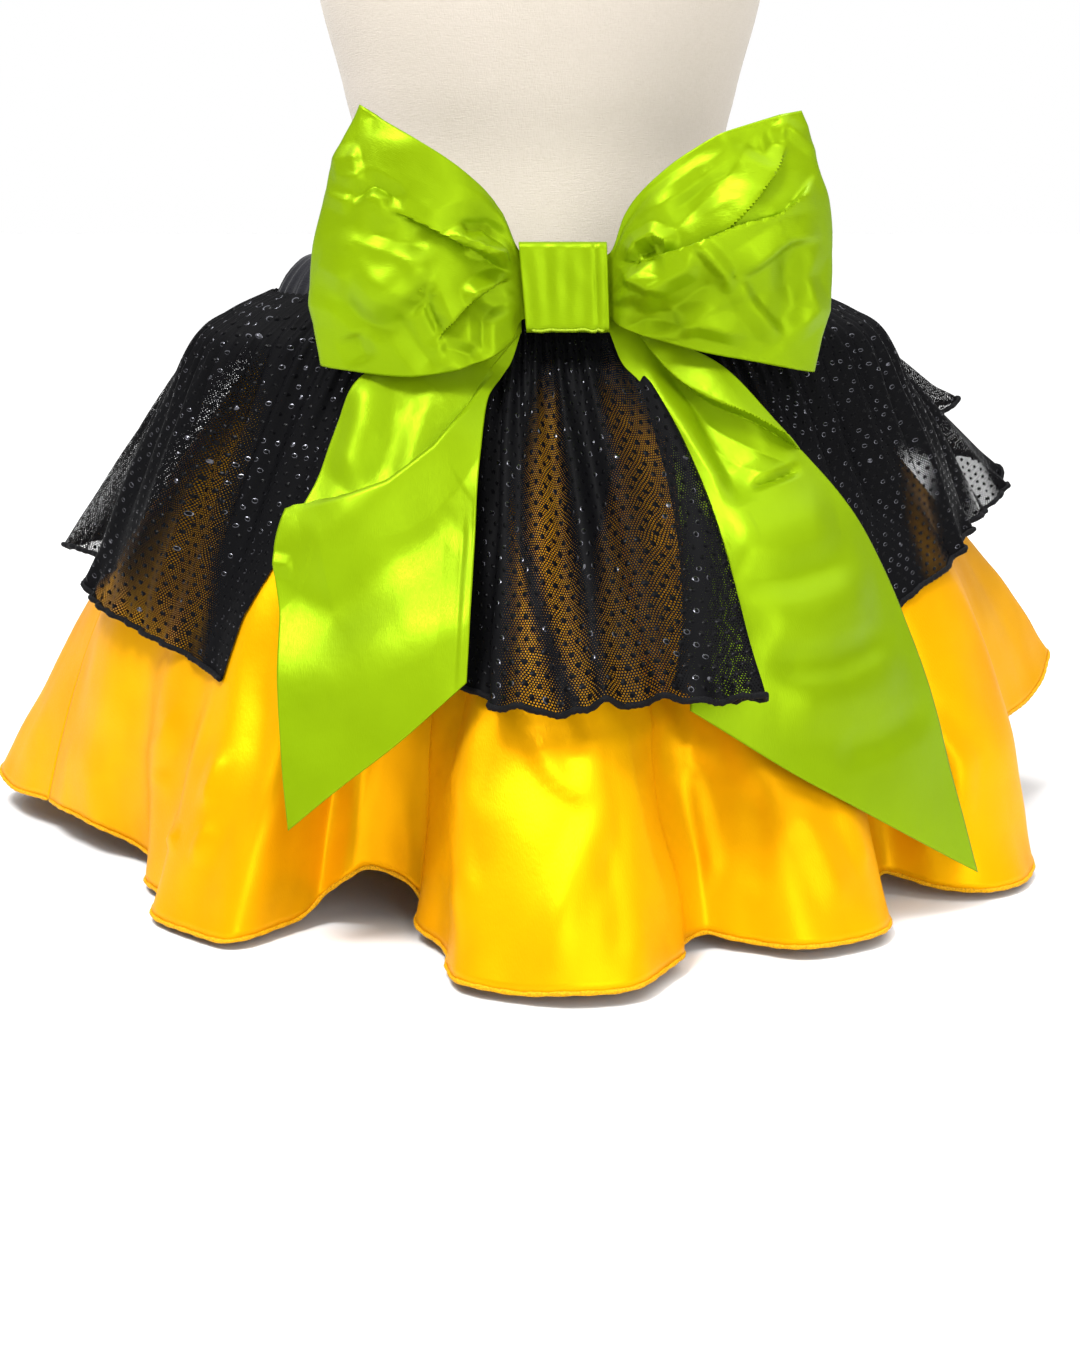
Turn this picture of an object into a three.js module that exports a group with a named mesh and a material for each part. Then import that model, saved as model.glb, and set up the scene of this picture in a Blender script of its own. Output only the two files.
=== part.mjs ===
// A costume tutu on a limbless dress form: a satin circle skirt, a shorter dotted mesh overlay in three
// gathered panels, a ruched waistband, and a satin bow with two loops, a knot and two wide tails.
// Millimetres, +Z up. The front faces -Y and z = 0 is the form's flat base.
import * as THREE from "three";

// ---- Driving dimensions ------------------------------------------------------------------------
const WALL = 1.2;             // every cloth piece
const SEAM = 0.3;             // left between pieces that are sewn together
const BAND_LOW = 318;
const BAND_HIGH = 362;
const BAND_OFF_FORM = 0.9;    // inside of the waistband, off the form
const BAND_PUFF = 12;         // outside of the waistband, off the form
const SKIRT_OFF_FORM = 5;     // middle of the skirt's top edge, off the form
const SKIRT_SWELL = 13;       // how far the skirt's folds bow out between waist and hem
const MESH_TOP = 338;
const MESH_OFF_FORM = 15.8;   // middle of the overlay's top edge, off the form
const KNOT_WIDTH = 47;
const KNOT_WALL = 1.5;

// The dress form: half its width and half its depth at each height.
const FORM = [
  // z, halfWidth, halfDepth
  [0, 150, 105],
  [120, 166, 118],
  [230, 170, 122],
  [300, 160, 114],
  [340, 146, 105],
  [415, 111, 86],
  [458, 117.5, 89],
  [510, 131, 98],
  [580, 142, 110],
  [650, 150, 104],
  [700, 150, 90],
  [740, 116, 72],
  [775, 62, 56],
  [800, 52, 51],
  [845, 50, 50],
];

// The skirt's hem, fold by fold. Angles are degrees from the front towards +X; the seams are at -90 and 92.
const SKIRT_HEM = [
  // angle, radius, z
  [-90, 312, 20],
  [-79, 282, 20],
  [-68.5, 252, 9],
  [-60, 267, 6],
  [-52, 273, 6],
  [-46, 297, 5],
  [-39.5, 302, 5],
  [-33, 305, 6],
  [-31.2, 273, 7],
  [-30.8, 256, 8],
  [-30.2, 241, 16],
  [-26, 241, 30],
  [-24, 233, 35],
  [-19, 224, 27],
  [-16.2, 229, 18],
  [-15.8, 243, 10],
  [-11.5, 271, 7],
  [-9.7, 287, 6],
  [-9.2, 304, 6],
  [-7.5, 328, 7],
  [-2, 347, 8],
  [3.3, 352, 9],
  [7.6, 347, 9],
  [10.4, 329, 9],
  [13.7, 301, 9],
  [14.6, 284, 9],
  [19.4, 265, 9],
  [23, 280, 7],
  [27.2, 304, 7],
  [36, 308, 8],
  [41, 295, 8],
  [44, 268, 10],
  [53.5, 246, 14],
  [55.3, 277, 8],
  [58.7, 303, 6],
  [69.4, 313, 6],
  [75, 300, 14],
  [80, 268, 32],
  [92, 280, 62],
  [99, 307, 64],
  [107, 350, 71],
  [114, 387, 90],
  [121, 350, 78],
  [132, 300, 45],
  [142, 350, 42],
  [150, 392, 50],
  [158, 350, 42],
  [166, 310, 35],
  [176, 362, 36],
  [184, 398, 45],
  [192, 358, 38],
  [200, 310, 35],
  [210, 360, 34],
  [217, 390, 40],
  [225, 346, 32],
  [233, 300, 30],
  [245, 345, 26],
  [255, 372, 24],
  [262, 350, 18],
];
const SKIRT_SEAMS = [-90, 92];

// The overlay's hem. The top column is the angle at which that line of the cloth leaves the waist, where
// it isn't the hem's own angle: the wave at the front leans over its neighbour there.
const MESH_HEM = [
  // angle, radius, z, top
  [-34, 236, 207, -33],
  [-24, 237, 178, -24],
  [-16, 235, 152, -17],
  [-9.5, 250, 142, -12],
  [-6.2, 262, 140, -9.5],
  [-5.2, 284, 139, -7],
  [2, 291, 137, 0],
  [9, 291, 142, 7],
  [16, 298, 143, 13],
  [22, 302, 143, 17],
  [19.5, 288, 143, 18.5],
  [15.8, 268, 144, 20],
  [16.4, 254, 144, 21.5],
  [21, 250, 145, 24],
  [33, 250, 145, 34],
  [45, 262, 150, 45],
  [57.7, 243, 167, 57.7],
  [72, 254, 184, 72],
  [81, 261, 194, 81],
  [92, 264, 192, 92],
  [102, 291, 195, 102],
  [109, 322, 204, 109],
  [115, 346, 210, 115],
  [122, 310, 235, 121],
  [128, 370, 252, 127],
  [137, 318, 222, 137],
  [147, 282, 195, 147],
  [160, 290, 190, 160],
  [170, 322, 190, 170],
  [180, 335, 190, 180],
  [190, 318, 184, 190],
  [200, 280, 176, 200],
  [209, 300, 180, 209],
  [218, 325, 186, 218],
  [227, 300, 176, 227],
  [236, 275, 166, 236],
  [245, 300, 168, 245],
  [253, 330, 172, 253],
  [262, 296, 174, 262],
  [270, 268, 172, 270],
  [278, 276, 160, 278],
  [291, 256, 147, 291],
  [303, 243, 139, 303],
  [315, 250, 132, 313],
];
const MESH_SEAMS = [-34, 45, 180, 315];

// How far the gathered overlay puffs out past a straight line from waist to hem, at full strength.
const MESH_PUFF = [
  // share of the way down, mm
  [0, 0],
  [0.08, 19],
  [0.17, 28],
  [0.4, 21],
  [0.68, 13],
  [1, 0],
];
const LIFTED_FOLD = 127;      // the overlay's highest fold puffs out half as much again
const GATHER = 1.5;           // every second column of the overlay stands this far out at the waist
const GATHER_LENGTH = 0.45;   // share of the way down where the gathers have opened out

// ---- Small helpers -----------------------------------------------------------------------------
const { lerp, clamp, degToRad } = THREE.MathUtils;
const at = (x, front, z) => new THREE.Vector3(x, -front, z);

// The value of one column of a table, read at a position in its first column.
function read(table, position, column) {
  const next = table.findIndex((row) => row[0] >= position);
  if (next <= 0) {
    return table[next === 0 ? 0 : table.length - 1][column];
  }
  const [low, high] = [table[next - 1], table[next]];
  return lerp(low[column], high[column], (position - low[0]) / (high[0] - low[0]));
}

// The form's outline between the sections of its table, as a smooth curve.
const formCurve = new THREE.CatmullRomCurve3(
  FORM.map(([z, halfWidth, halfDepth]) => new THREE.Vector3(halfWidth, halfDepth, z)),
  false,
  "centripetal",
);
const FORM_STEPS = 30;
const formSections = Array.from({ length: FORM_STEPS + 1 }, (_, i) => {
  const { x, y, z } = formCurve.getPoint(i / FORM_STEPS);
  return [z, x, y];
});
const halfWidth = (z) => read(formSections, z, 1);
const halfDepth = (z) => read(formSections, z, 2);

// A point at an angle round the form, a distance off its surface and a height.
function offForm(angle, off, z) {
  const [a, b] = [halfWidth(z) + off, halfDepth(z) + off];
  const [sine, cosine] = [Math.sin(degToRad(angle)), Math.cos(degToRad(angle))];
  const radius = 1 / Math.hypot(sine / a, cosine / b);
  return at(radius * sine, radius * cosine, z);
}

function named(name, geometry, colour, roughness) {
  const material = new THREE.MeshStandardMaterial({ color: colour, roughness, metalness: 0 });
  const mesh = new THREE.Mesh(geometry, material);
  mesh.name = name;
  return mesh;
}

// ---- Turned pieces -----------------------------------------------------------------------------
// Turns a profile of [off the form, z] or [radius, z] points round the form's oval section.
function ovalLathe(profile, segments, shape = (point) => point) {
  const geometry = new THREE.LatheGeometry(
    profile.map(([radius, z]) => new THREE.Vector2(radius, z)),
    segments,
  );
  geometry.rotateX(Math.PI / 2);
  const spots = geometry.getAttribute("position");
  const point = new THREE.Vector3();
  for (let i = 0; i < spots.count; i += 1) {
    shape(point.fromBufferAttribute(spots, i));
    spots.setXYZ(i, point.x, point.y, point.z);
  }
  geometry.computeVertexNormals();
  return geometry;
}

function dressForm() {
  const side = formSections.map(([z, width]) => [width, z]);
  const height = FORM.at(-1)[0];
  const profile = [[0, 0], ...side, [0, height]];
  return ovalLathe(profile, 40, (point) => {
    point.y *= halfDepth(point.z) / halfWidth(point.z);
    return point;
  });
}

// A soft ring round the form. Every second column of its outside stands in a little, as ruching does.
function waistband() {
  const middle = (BAND_LOW + BAND_HIGH) / 2;
  const outline = [
    [BAND_OFF_FORM, BAND_LOW],
    [BAND_PUFF - 4, BAND_LOW],
    [BAND_PUFF, BAND_LOW + 7],
    [BAND_PUFF, middle],
    [BAND_PUFF - 1, BAND_HIGH - 9],
    [BAND_PUFF - 5, BAND_HIGH - 2],
    [BAND_OFF_FORM + 1, BAND_HIGH],
    [BAND_OFF_FORM, middle],
    [BAND_OFF_FORM, BAND_LOW],
  ];
  const segments = 72;
  const profile = outline.map(([off, z]) => [halfWidth(z) + off, z]);
  return ovalLathe(profile, segments, (point) => {
    const radius = Math.hypot(point.x, point.y);
    const turn = Math.atan2(point.x, -point.y);
    const off = radius - halfWidth(point.z);
    const ruche = off > BAND_PUFF / 2 ? 0.8 * Math.cos((turn * segments) / 2) : 0;
    point.x = Math.sin(turn) * (halfWidth(point.z) + off + ruche);
    point.y = -Math.cos(turn) * (halfDepth(point.z) + off + ruche);
    return point;
  });
}

// ---- Cloth -------------------------------------------------------------------------------------
// Unit normals of a grid of points, on the side that faces out when columns run from -X to +X.
function gridNormals(grid) {
  return grid.map((row, r) =>
    row.map((_, c) => {
      const up = grid[Math.max(r - 1, 0)][c];
      const down = grid[Math.min(r + 1, grid.length - 1)][c];
      const before = row[Math.max(c - 1, 0)];
      const after = row[Math.min(c + 1, row.length - 1)];
      const along = down.clone().sub(up);
      return along.cross(after.clone().sub(before)).normalize();
    }),
  );
}

// A closed cloth wall whose middle is the grid.
function clothWall(grid, normals = gridNormals(grid), wall = WALL) {
  const rows = grid.length;
  const columns = grid[0].length;
  const spots = [];
  for (const side of [wall / 2, -wall / 2]) {
    for (let r = 0; r < rows; r += 1) {
      for (let c = 0; c < columns; c += 1) {
        spots.push(...grid[r][c].clone().addScaledVector(normals[r][c], side).toArray());
      }
    }
  }
  const outer = (r, c) => r * columns + c;
  const inner = (r, c) => rows * columns + outer(r, c);
  const faces = [];
  const quad = (a, b, c, d) => faces.push(a, b, c, a, c, d);
  for (let r = 0; r + 1 < rows; r += 1) {
    for (let c = 0; c + 1 < columns; c += 1) {
      quad(outer(r, c), outer(r + 1, c), outer(r + 1, c + 1), outer(r, c + 1));
      quad(inner(r, c), inner(r, c + 1), inner(r + 1, c + 1), inner(r + 1, c));
    }
    quad(outer(r, 0), inner(r, 0), inner(r + 1, 0), outer(r + 1, 0));
    const last = columns - 1;
    quad(outer(r, last), outer(r + 1, last), inner(r + 1, last), inner(r, last));
  }
  for (let c = 0; c + 1 < columns; c += 1) {
    const last = rows - 1;
    quad(outer(0, c), outer(0, c + 1), inner(0, c + 1), inner(0, c));
    quad(outer(last, c), inner(last, c), inner(last, c + 1), outer(last, c + 1));
  }
  const geometry = new THREE.BufferGeometry();
  geometry.setAttribute("position", new THREE.Float32BufferAttribute(spots, 3));
  geometry.setIndex(faces);
  geometry.computeVertexNormals();
  return geometry;
}

// The lines of cloth that meet a hem: evenly spaced points of a smooth curve through the table's rows,
// each with the angle at which it leaves the waist.
function hemLines(table, closed, spacing) {
  const points = table.map(([angle, radius, z]) => {
    const turn = degToRad(angle);
    return at(radius * Math.sin(turn), radius * Math.cos(turn), z);
  });
  const curve = new THREE.CatmullRomCurve3(points, closed, "centripetal");
  const tops = table.map(([angle, , , top = angle]) => top);
  if (closed) {
    tops.push(tops[0] + 360);
  }
  const spans = tops.length - 1;
  const lines = [];
  for (let i = 0; i < spans; i += 1) {
    const reach = points[i].distanceTo(points[(i + 1) % points.length]);
    const steps = Math.max(1, Math.round(reach / spacing));
    for (let step = 0; step < steps; step += 1) {
      const share = step / steps;
      const point = curve.getPoint((i + share) / spans);
      lines.push({ point, top: lerp(tops[i], tops[i + 1], share), row: step === 0 ? i : -1 });
    }
  }
  const end = closed ? 0 : spans;
  lines.push({ point: points[end].clone(), top: tops[spans], row: end });
  return lines;
}

// Rows of cloth from the waist to the hem. The shape adds the puff and the gathers.
function hangingGrid(lines, shares, topOff, topZ, shape) {
  return shares.map((share) =>
    lines.map(({ point, top }, column) => {
      const waist = offForm(top, topOff, topZ);
      const spot = waist.clone().lerp(point, share);
      const outward = new THREE.Vector3(spot.x, spot.y, 0).normalize();
      return spot.addScaledVector(outward, shape(top, share, column));
    }),
  );
}

// Columns from one seam to the next, each edge moved back by half the seam gap.
function panelBetween(grid, normals, first, last) {
  const cut = (rows) => rows.map((row) => row.slice(first, last + 1).map((spot) => spot.clone()));
  const panel = cut(grid);
  for (const row of panel) {
    const end = row.length - 1;
    const leading = row[1].clone().sub(row[0]).setLength(SEAM / 2);
    const trailing = row[end - 1].clone().sub(row[end]).setLength(SEAM / 2);
    row[0].add(leading);
    row[end].add(trailing);
  }
  return clothWall(panel, cut(normals));
}

// One geometry for each panel between neighbouring seams.
function panels(lines, grid, table, seams) {
  const normals = gridNormals(grid);
  const columns = seams.map((angle) => {
    const row = table.findIndex(([rowAngle]) => rowAngle === angle);
    return lines.findIndex((line) => line.row === row);
  });
  return columns.slice(0, -1).map((first, i) => panelBetween(grid, normals, first, columns[i + 1]));
}

function skirt() {
  const lines = hemLines(SKIRT_HEM, true, 21);
  const shares = [0, 0.1, 0.26, 0.44, 0.63, 0.82, 1];
  const swell = (top, share) => SKIRT_SWELL * Math.sin(Math.PI * share);
  const grid = hangingGrid(lines, shares, SKIRT_OFF_FORM, BAND_LOW - SEAM - WALL / 2, swell);
  for (const row of grid) {
    row[row.length - 1].copy(row[0]);
  }
  const normals = gridNormals(grid);
  for (const row of normals) {
    const shared = row[0].clone().add(row[row.length - 1]).normalize();
    row[0].copy(shared);
    row[row.length - 1].copy(shared);
  }
  const side = lines.findIndex((line) => line.row === SKIRT_HEM.findIndex(([a]) => a === SKIRT_SEAMS[1]));
  return [
    panelBetween(grid, normals, 0, side),
    panelBetween(grid, normals, side, lines.length - 1),
  ];
}

function overlay() {
  const lines = hemLines(MESH_HEM, false, 21);
  const shares = [0, 0.08, 0.18, 0.36, 0.56, 0.78, 1];
  const grid = hangingGrid(lines, shares, MESH_OFF_FORM, MESH_TOP, (top, share, column) => {
    const fromFront = Math.abs(top > 180 ? top - 360 : top);
    const strength = clamp(lerp(-0.3, 1, (fromFront - 25) / 45), -0.3, 1);
    const lifted = 0.5 * Math.exp(-(((top - LIFTED_FOLD) / 14) ** 2));
    const fade = Math.max(0, 1 - share / GATHER_LENGTH);
    const gather = GATHER * fade * (column % 2 === 0 ? -1 : 1);
    return read(MESH_PUFF, share, 1) * (strength + lifted) + gather;
  });
  return panels(lines, grid, MESH_HEM, MESH_SEAMS);
}

// A smooth grid through a net of points: each station has points across the strip.
function smoothGrid(stations, along, across) {
  const ribs = stations.map((points) => {
    const rib = new THREE.CatmullRomCurve3(points, false, "centripetal");
    return Array.from({ length: across + 1 }, (_, i) => rib.getPoint(i / across));
  });
  const strings = ribs[0].map((_, column) => {
    const string = new THREE.CatmullRomCurve3(ribs.map((rib) => rib[column]), false, "centripetal");
    return Array.from({ length: along + 1 }, (_, i) => string.getPoint(i / along));
  });
  return Array.from({ length: along + 1 }, (_, i) => strings.map((string) => string[i]));
}

// ---- Bow ---------------------------------------------------------------------------------------
// Each row is one station of a loop's strip, from the knot round the fold and back: its top and bottom
// edge, and how far its middle stands out sideways and to the front.
const LOOP_LEFT = [
  // topX, topFront, topZ, bottomX, bottomFront, bottomZ, puffX, puffFront
  [-3, 144, 362, -3, 146, 331, 0, 0],
  [-10.5, 145, 365, -10.5, 147, 328, 0, 1],
  [-21, 151, 388, -16, 155, 317, 0, 3],
  [-42, 159, 409, -36, 166, 305, 0, 7],
  [-66, 159, 425, -66, 167, 299, 0, 9],
  [-88, 151, 438, -104, 158, 301, -3, 9],
  [-97, 143, 444, -122, 146, 304, -14, 1],
  [-88, 134, 438, -110, 139, 308, -5, -4],
  [-62, 128, 420, -70, 135, 316, 0, -2],
  [-25, 126, 388, -28, 132, 330, 0, -1],
  [-10.5, 126, 364, -10.5, 129.3, 336, 0, 0],
  [-3, 126, 361, -3, 129.3, 338, 0, 0],
];
const LOOP_RIGHT = [
  // topX, topFront, topZ, bottomX, bottomFront, bottomZ, puffX, puffFront
  [31, 144, 362, 31, 146, 333, 0, 0],
  [38.5, 145, 365, 38.5, 147, 330, 0, 1],
  [48, 151, 387, 47, 155, 324, 0, 3],
  [65, 157, 407, 68, 163, 317, 0, 8],
  [90, 160, 425, 98, 165, 310, 0, 10],
  [120, 153, 436, 130, 157, 304, 3, 10],
  [142, 142, 441, 152, 142, 300, 14, 1],
  [122, 132, 434, 132, 134, 308, 5, -4],
  [92, 128, 418, 96, 133, 318, 0, -2],
  [53, 126, 386, 55, 132, 331, 0, -1],
  [38.5, 126, 364, 38.5, 129.3, 336, 0, 0],
  [31, 126, 361, 31, 129.3, 338, 0, 0],
];

function loop(table) {
  const stations = table.map(([topX, topFront, topZ, bottomX, bottomFront, bottomZ, puffX, puffFront]) => {
    const [top, bottom] = [at(topX, topFront, topZ), at(bottomX, bottomFront, bottomZ)];
    const puff = at(puffX, puffFront, 0);
    return [0, 0.33, 0.67, 1].map((share) => {
      const spot = top.clone().lerp(bottom, share);
      return spot.addScaledVector(puff, Math.sin(Math.PI * share));
    });
  });
  return smoothGrid(stations, 22, 7);
}

// Each row is one station of a tail, from the knot down: its outer edge, the two points between, and its
// inner edge.
const TAIL_LEFT = [
  // outer x, front, z; second; third; inner
  [-10.4, 134, 331, -10.4, 135, 328, -10.4, 136, 325, -10.4, 137, 322],
  [-36, 137, 324, -30, 139, 318, -23, 141, 311, -16, 142, 305],
  [-60, 141, 319, -46, 144, 311, -33, 146, 304, -20, 146, 299],
  [-97, 156, 301, -74, 163, 298, -50, 164, 294, -28, 163, 288],
  [-124, 184, 254, -95, 192, 258, -62, 194, 259, -32, 192, 260],
  [-143, 212, 213, -106, 218, 219, -68, 222, 224, -35, 222, 227],
  [-141, 232, 175, -107, 238, 184, -70, 243, 191, -36, 243, 196],
  [-137, 250, 122, -107, 254, 141, -71, 258, 157, -37, 257, 172],
  [-132, 266, 69, -102, 268, 94, -70, 270, 120, -38, 266, 148],
];
const TAIL_RIGHT = [
  // outer x, front, z; second; third; inner
  [38.4, 134, 331, 38.4, 135, 328, 38.4, 136, 325, 38.4, 137, 322],
  [58, 138, 323, 54, 140, 317, 50, 142, 310, 46, 143, 304],
  [78, 142, 316, 68, 145, 309, 60, 147, 302, 54, 148, 296],
  [104, 153, 303, 91, 158, 297, 79, 162, 289, 68, 161, 280],
  [132, 163, 271, 112, 174, 268, 92, 181, 261, 73, 178, 252],
  [162, 171, 237, 134, 190, 237, 104, 202, 231, 76, 198, 222],
  [193, 174, 188, 156, 203, 194, 116, 222, 194, 79, 219, 190],
  [222, 177, 107, 178, 212, 128, 128, 235, 149, 80, 238, 162],
  [246, 178, 22, 192, 216, 58, 136, 242, 93, 79, 250, 130],
];

function tail(table) {
  const stations = table.map((row) => [0, 3, 6, 9].map((i) => at(row[i], row[i + 1], row[i + 2])));
  return smoothGrid(stations, 16, 6);
}

// A flat strip wrapped round the pinched ends, open at both sides.
function knot() {
  const corners = [
    // front, z
    [118.8, 367],
    [129.8, 323],
    [153, 322],
    [150, 371],
  ].map(([front, z]) => new THREE.Vector2(front, z));
  const centre = new THREE.Vector2(138, 346);
  // The ring's outline, moved in by an inset, with each corner rounded by three points.
  const ring = (inset) => {
    const moved = corners.map((spot) => {
      const inward = new THREE.Vector2(Math.sign(centre.x - spot.x), Math.sign(centre.y - spot.y));
      return spot.clone().addScaledVector(inward, inset);
    });
    const round = 5 - inset;
    return moved.flatMap((spot, i) => {
      const towards = (other) => spot.clone().add(other.clone().sub(spot).setLength(round));
      const [into, out] = [towards(moved[(i + 3) % 4]), towards(moved[(i + 1) % 4])];
      const tip = into.clone().add(out).multiplyScalar(0.5).lerp(spot, 0.5);
      return [into, tip, out];
    });
  };
  const shape = new THREE.Shape(ring(0));
  shape.holes.push(new THREE.Path(ring(KNOT_WALL)));
  const geometry = new THREE.ExtrudeGeometry(shape, { depth: KNOT_WIDTH, bevelEnabled: false });
  // The shape's x is the way to the front and its y is up: turn the first to -Y and the second to +Z.
  geometry.applyMatrix4(new THREE.Matrix4().makeBasis(
    new THREE.Vector3(0, -1, 0),
    new THREE.Vector3(0, 0, 1),
    new THREE.Vector3(-1, 0, 0),
  ));
  geometry.translate(14 + KNOT_WIDTH / 2, 0, 0);
  return geometry;
}

// ---- The tutu ----------------------------------------------------------------------------------
const tutu = new THREE.Group();
const [skirtFront, skirtBack] = skirt();
const [meshFront, meshRight, meshLeft] = overlay();
const SATIN_YELLOW = 0xffc408;
const SATIN_LIME = 0xa0d20f;
const MESH_BLACK = 0x1a1a1c;

tutu.add(named("dress_form", dressForm(), 0xeee6da, 0.9));
tutu.add(named("waistband", waistband(), 0x1e1e22, 0.45));
tutu.add(named("skirt_front", skirtFront, SATIN_YELLOW, 0.35));
tutu.add(named("skirt_back", skirtBack, SATIN_YELLOW, 0.35));
tutu.add(named("mesh_front", meshFront, MESH_BLACK, 0.7));
tutu.add(named("mesh_right", meshRight, MESH_BLACK, 0.7));
tutu.add(named("mesh_left", meshLeft, MESH_BLACK, 0.7));
tutu.add(named("bow_knot", knot(), SATIN_LIME, 0.35));
tutu.add(named("bow_loop_left", clothWall(loop(LOOP_LEFT)), SATIN_LIME, 0.35));
tutu.add(named("bow_loop_right", clothWall(loop(LOOP_RIGHT)), SATIN_LIME, 0.35));
tutu.add(named("bow_tail_left", clothWall(tail(TAIL_LEFT)), SATIN_LIME, 0.35));
tutu.add(named("bow_tail_right", clothWall(tail(TAIL_RIGHT)), SATIN_LIME, 0.35));

export default tutu;
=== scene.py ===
# %% [markdown]
# # A satin and mesh tutu on a dress form
# The real skirt is sewn from a yellow satin circle, a shorter layer of dotted black mesh that is gathered
# into a ruched waistband, and a big lime satin bow. A limbless dress form holds it up. This lesson dresses
# the plain solids of that object with thin cloth: each piece starts as a flat grid, as cloth is cut flat,
# and every vertex is then carried to its place on the garment.

# %% Load the model
import math
import bmesh
import bpy
import numpy as np
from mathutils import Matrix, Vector
from mathutils.bvhtree import BVHTree


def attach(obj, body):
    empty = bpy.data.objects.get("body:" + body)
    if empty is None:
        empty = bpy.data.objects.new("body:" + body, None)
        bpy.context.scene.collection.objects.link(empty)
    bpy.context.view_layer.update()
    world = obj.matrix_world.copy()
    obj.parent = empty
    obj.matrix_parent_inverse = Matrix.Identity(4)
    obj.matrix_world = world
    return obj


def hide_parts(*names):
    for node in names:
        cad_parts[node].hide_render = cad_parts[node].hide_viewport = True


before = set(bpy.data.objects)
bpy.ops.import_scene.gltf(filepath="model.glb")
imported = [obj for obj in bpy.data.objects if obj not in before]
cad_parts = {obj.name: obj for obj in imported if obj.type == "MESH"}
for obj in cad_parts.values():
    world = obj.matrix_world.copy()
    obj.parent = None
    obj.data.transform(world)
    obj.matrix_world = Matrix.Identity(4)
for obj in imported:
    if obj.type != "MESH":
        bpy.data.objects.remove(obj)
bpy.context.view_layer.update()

print("solids:", ", ".join(sorted(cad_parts)))

# %% [markdown]
# ## Sizes
# All sizes are in millimetres, because that is how a pattern cutter thinks, and `MM` turns them into
# Blender's metres. Angles go round the form in degrees, from the front towards the viewer's right. A grid is
# given as rows down the cloth and columns across it.

# %% Sizes
MM = 0.001
SKIRT_OFF_FORM, SKIRT_TOP, SKIRT_SWELL = 5, 317.1, 13
SIDE_SWELL, SIDE_ANGLE = 21, 74
MESH_OFF_FORM, MESH_TOP = 15.8, 338
MESH_OFF_SATIN = 1.6
LIFTED_FOLD = 127
KNOT_X = 14
SATIN_THICK, BOW_THICK, KNOT_THICK = 0.5, 0.9, 1.2
SHARP_FOLD = math.radians(50)
SKIRT_ROWS, SKIRT_COLUMNS = 74, 390
MESH_ROWS = 80
BAND_ROWS, BAND_COLUMNS = 29, 901
LOOP_ROWS, LOOP_COLUMNS = 100, 240
TAIL_ROWS, TAIL_COLUMNS = 104, 270
KNOT_ROWS, KNOT_COLUMNS = 161, 54

FORM = [
    # z, half_width, half_depth
    (0, 150, 105),
    (120, 166, 118),
    (230, 170, 122),
    (300, 160, 114),
    (340, 146, 105),
    (415, 111, 86),
    (458, 117.5, 89),
    (510, 131, 98),
    (580, 142, 110),
    (650, 150, 104),
    (700, 150, 90),
    (740, 116, 72),
    (775, 62, 56),
    (800, 52, 51),
    (845, 50, 50),
]

# %% [markdown]
# ## Smooth curves through a few sections
# A maker marks a few points and draws a fair curve through them. A centripetal Catmull-Rom spline does
# that: it passes through every point and never loops where two points are close, which matters where a
# fold of the hem turns sharply.


# %% Curve helpers
def spline(points, position, closed=False):
    """Points on the smooth curve; position counts along the table's rows."""
    points = np.asarray(points, float)
    position = np.atleast_1d(np.asarray(position, float))
    count = len(points)
    if closed:
        ring = np.arange(-1, count + 2) % count
        padded = points[ring]
        start = np.clip(np.floor(position), 0, count - 1).astype(int)
    else:
        first = 2 * points[0] - points[1]
        last = 2 * points[-1] - points[-2]
        padded = np.vstack([first, points, last])
        start = np.clip(np.floor(position), 0, count - 2).astype(int)
    share = (position - start)[:, None]
    p0, p1, p2, p3 = (padded[start + i] for i in range(4))
    d0, d1, d2 = (np.maximum(np.linalg.norm(b - a, axis=1, keepdims=True), 1e-9) ** 0.5
                  for a, b in ((p0, p1), (p1, p2), (p2, p3)))
    leave = ((p1 - p0) / d0 - (p2 - p0) / (d0 + d1) + (p2 - p1) / d1) * d1
    arrive = ((p2 - p1) / d1 - (p3 - p1) / (d1 + d2) + (p3 - p2) / d2) * d1
    square, cube = share ** 2, share ** 3
    return (p1 * (2 * cube - 3 * square + 1) + leave * (cube - 2 * square + share)
            + p2 * (3 * square - 2 * cube) + arrive * (cube - square))


fine = spline(FORM, np.linspace(0, len(FORM) - 1, 500))


def half_width(z):
    return np.interp(z, fine[:, 0], fine[:, 1])


def half_depth(z):
    return np.interp(z, fine[:, 0], fine[:, 2])


def off_form(angle, off, z):
    """Points at an angle round the form, a distance off its surface, at a height."""
    turn = np.radians(angle)
    a, b = half_width(z) + off, half_depth(z) + off
    radius = 1 / np.hypot(np.sin(turn) / a, np.cos(turn) / b)
    height = np.broadcast_to(z, radius.shape)
    return np.stack([radius * np.sin(turn), -radius * np.cos(turn), height], -1)


print("form waist:", round(2 * float(half_width(415))), "mm wide")

# %% [markdown]
# ## From a flat grid to cloth
# Cloth is woven flat, so each piece starts from `bmesh.ops.create_grid`, whose UV map is the flat cut.
# The vertices are then moved to their places, row by row. The UVs are stretched to the cut's real size in
# metres, so that dots and threads come out at their true scale.


# %% The cloth maker
def in_scene(name, data):
    fresh = bpy.data.objects.new(name, data)
    bpy.context.scene.collection.objects.link(fresh)
    return fresh


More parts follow.
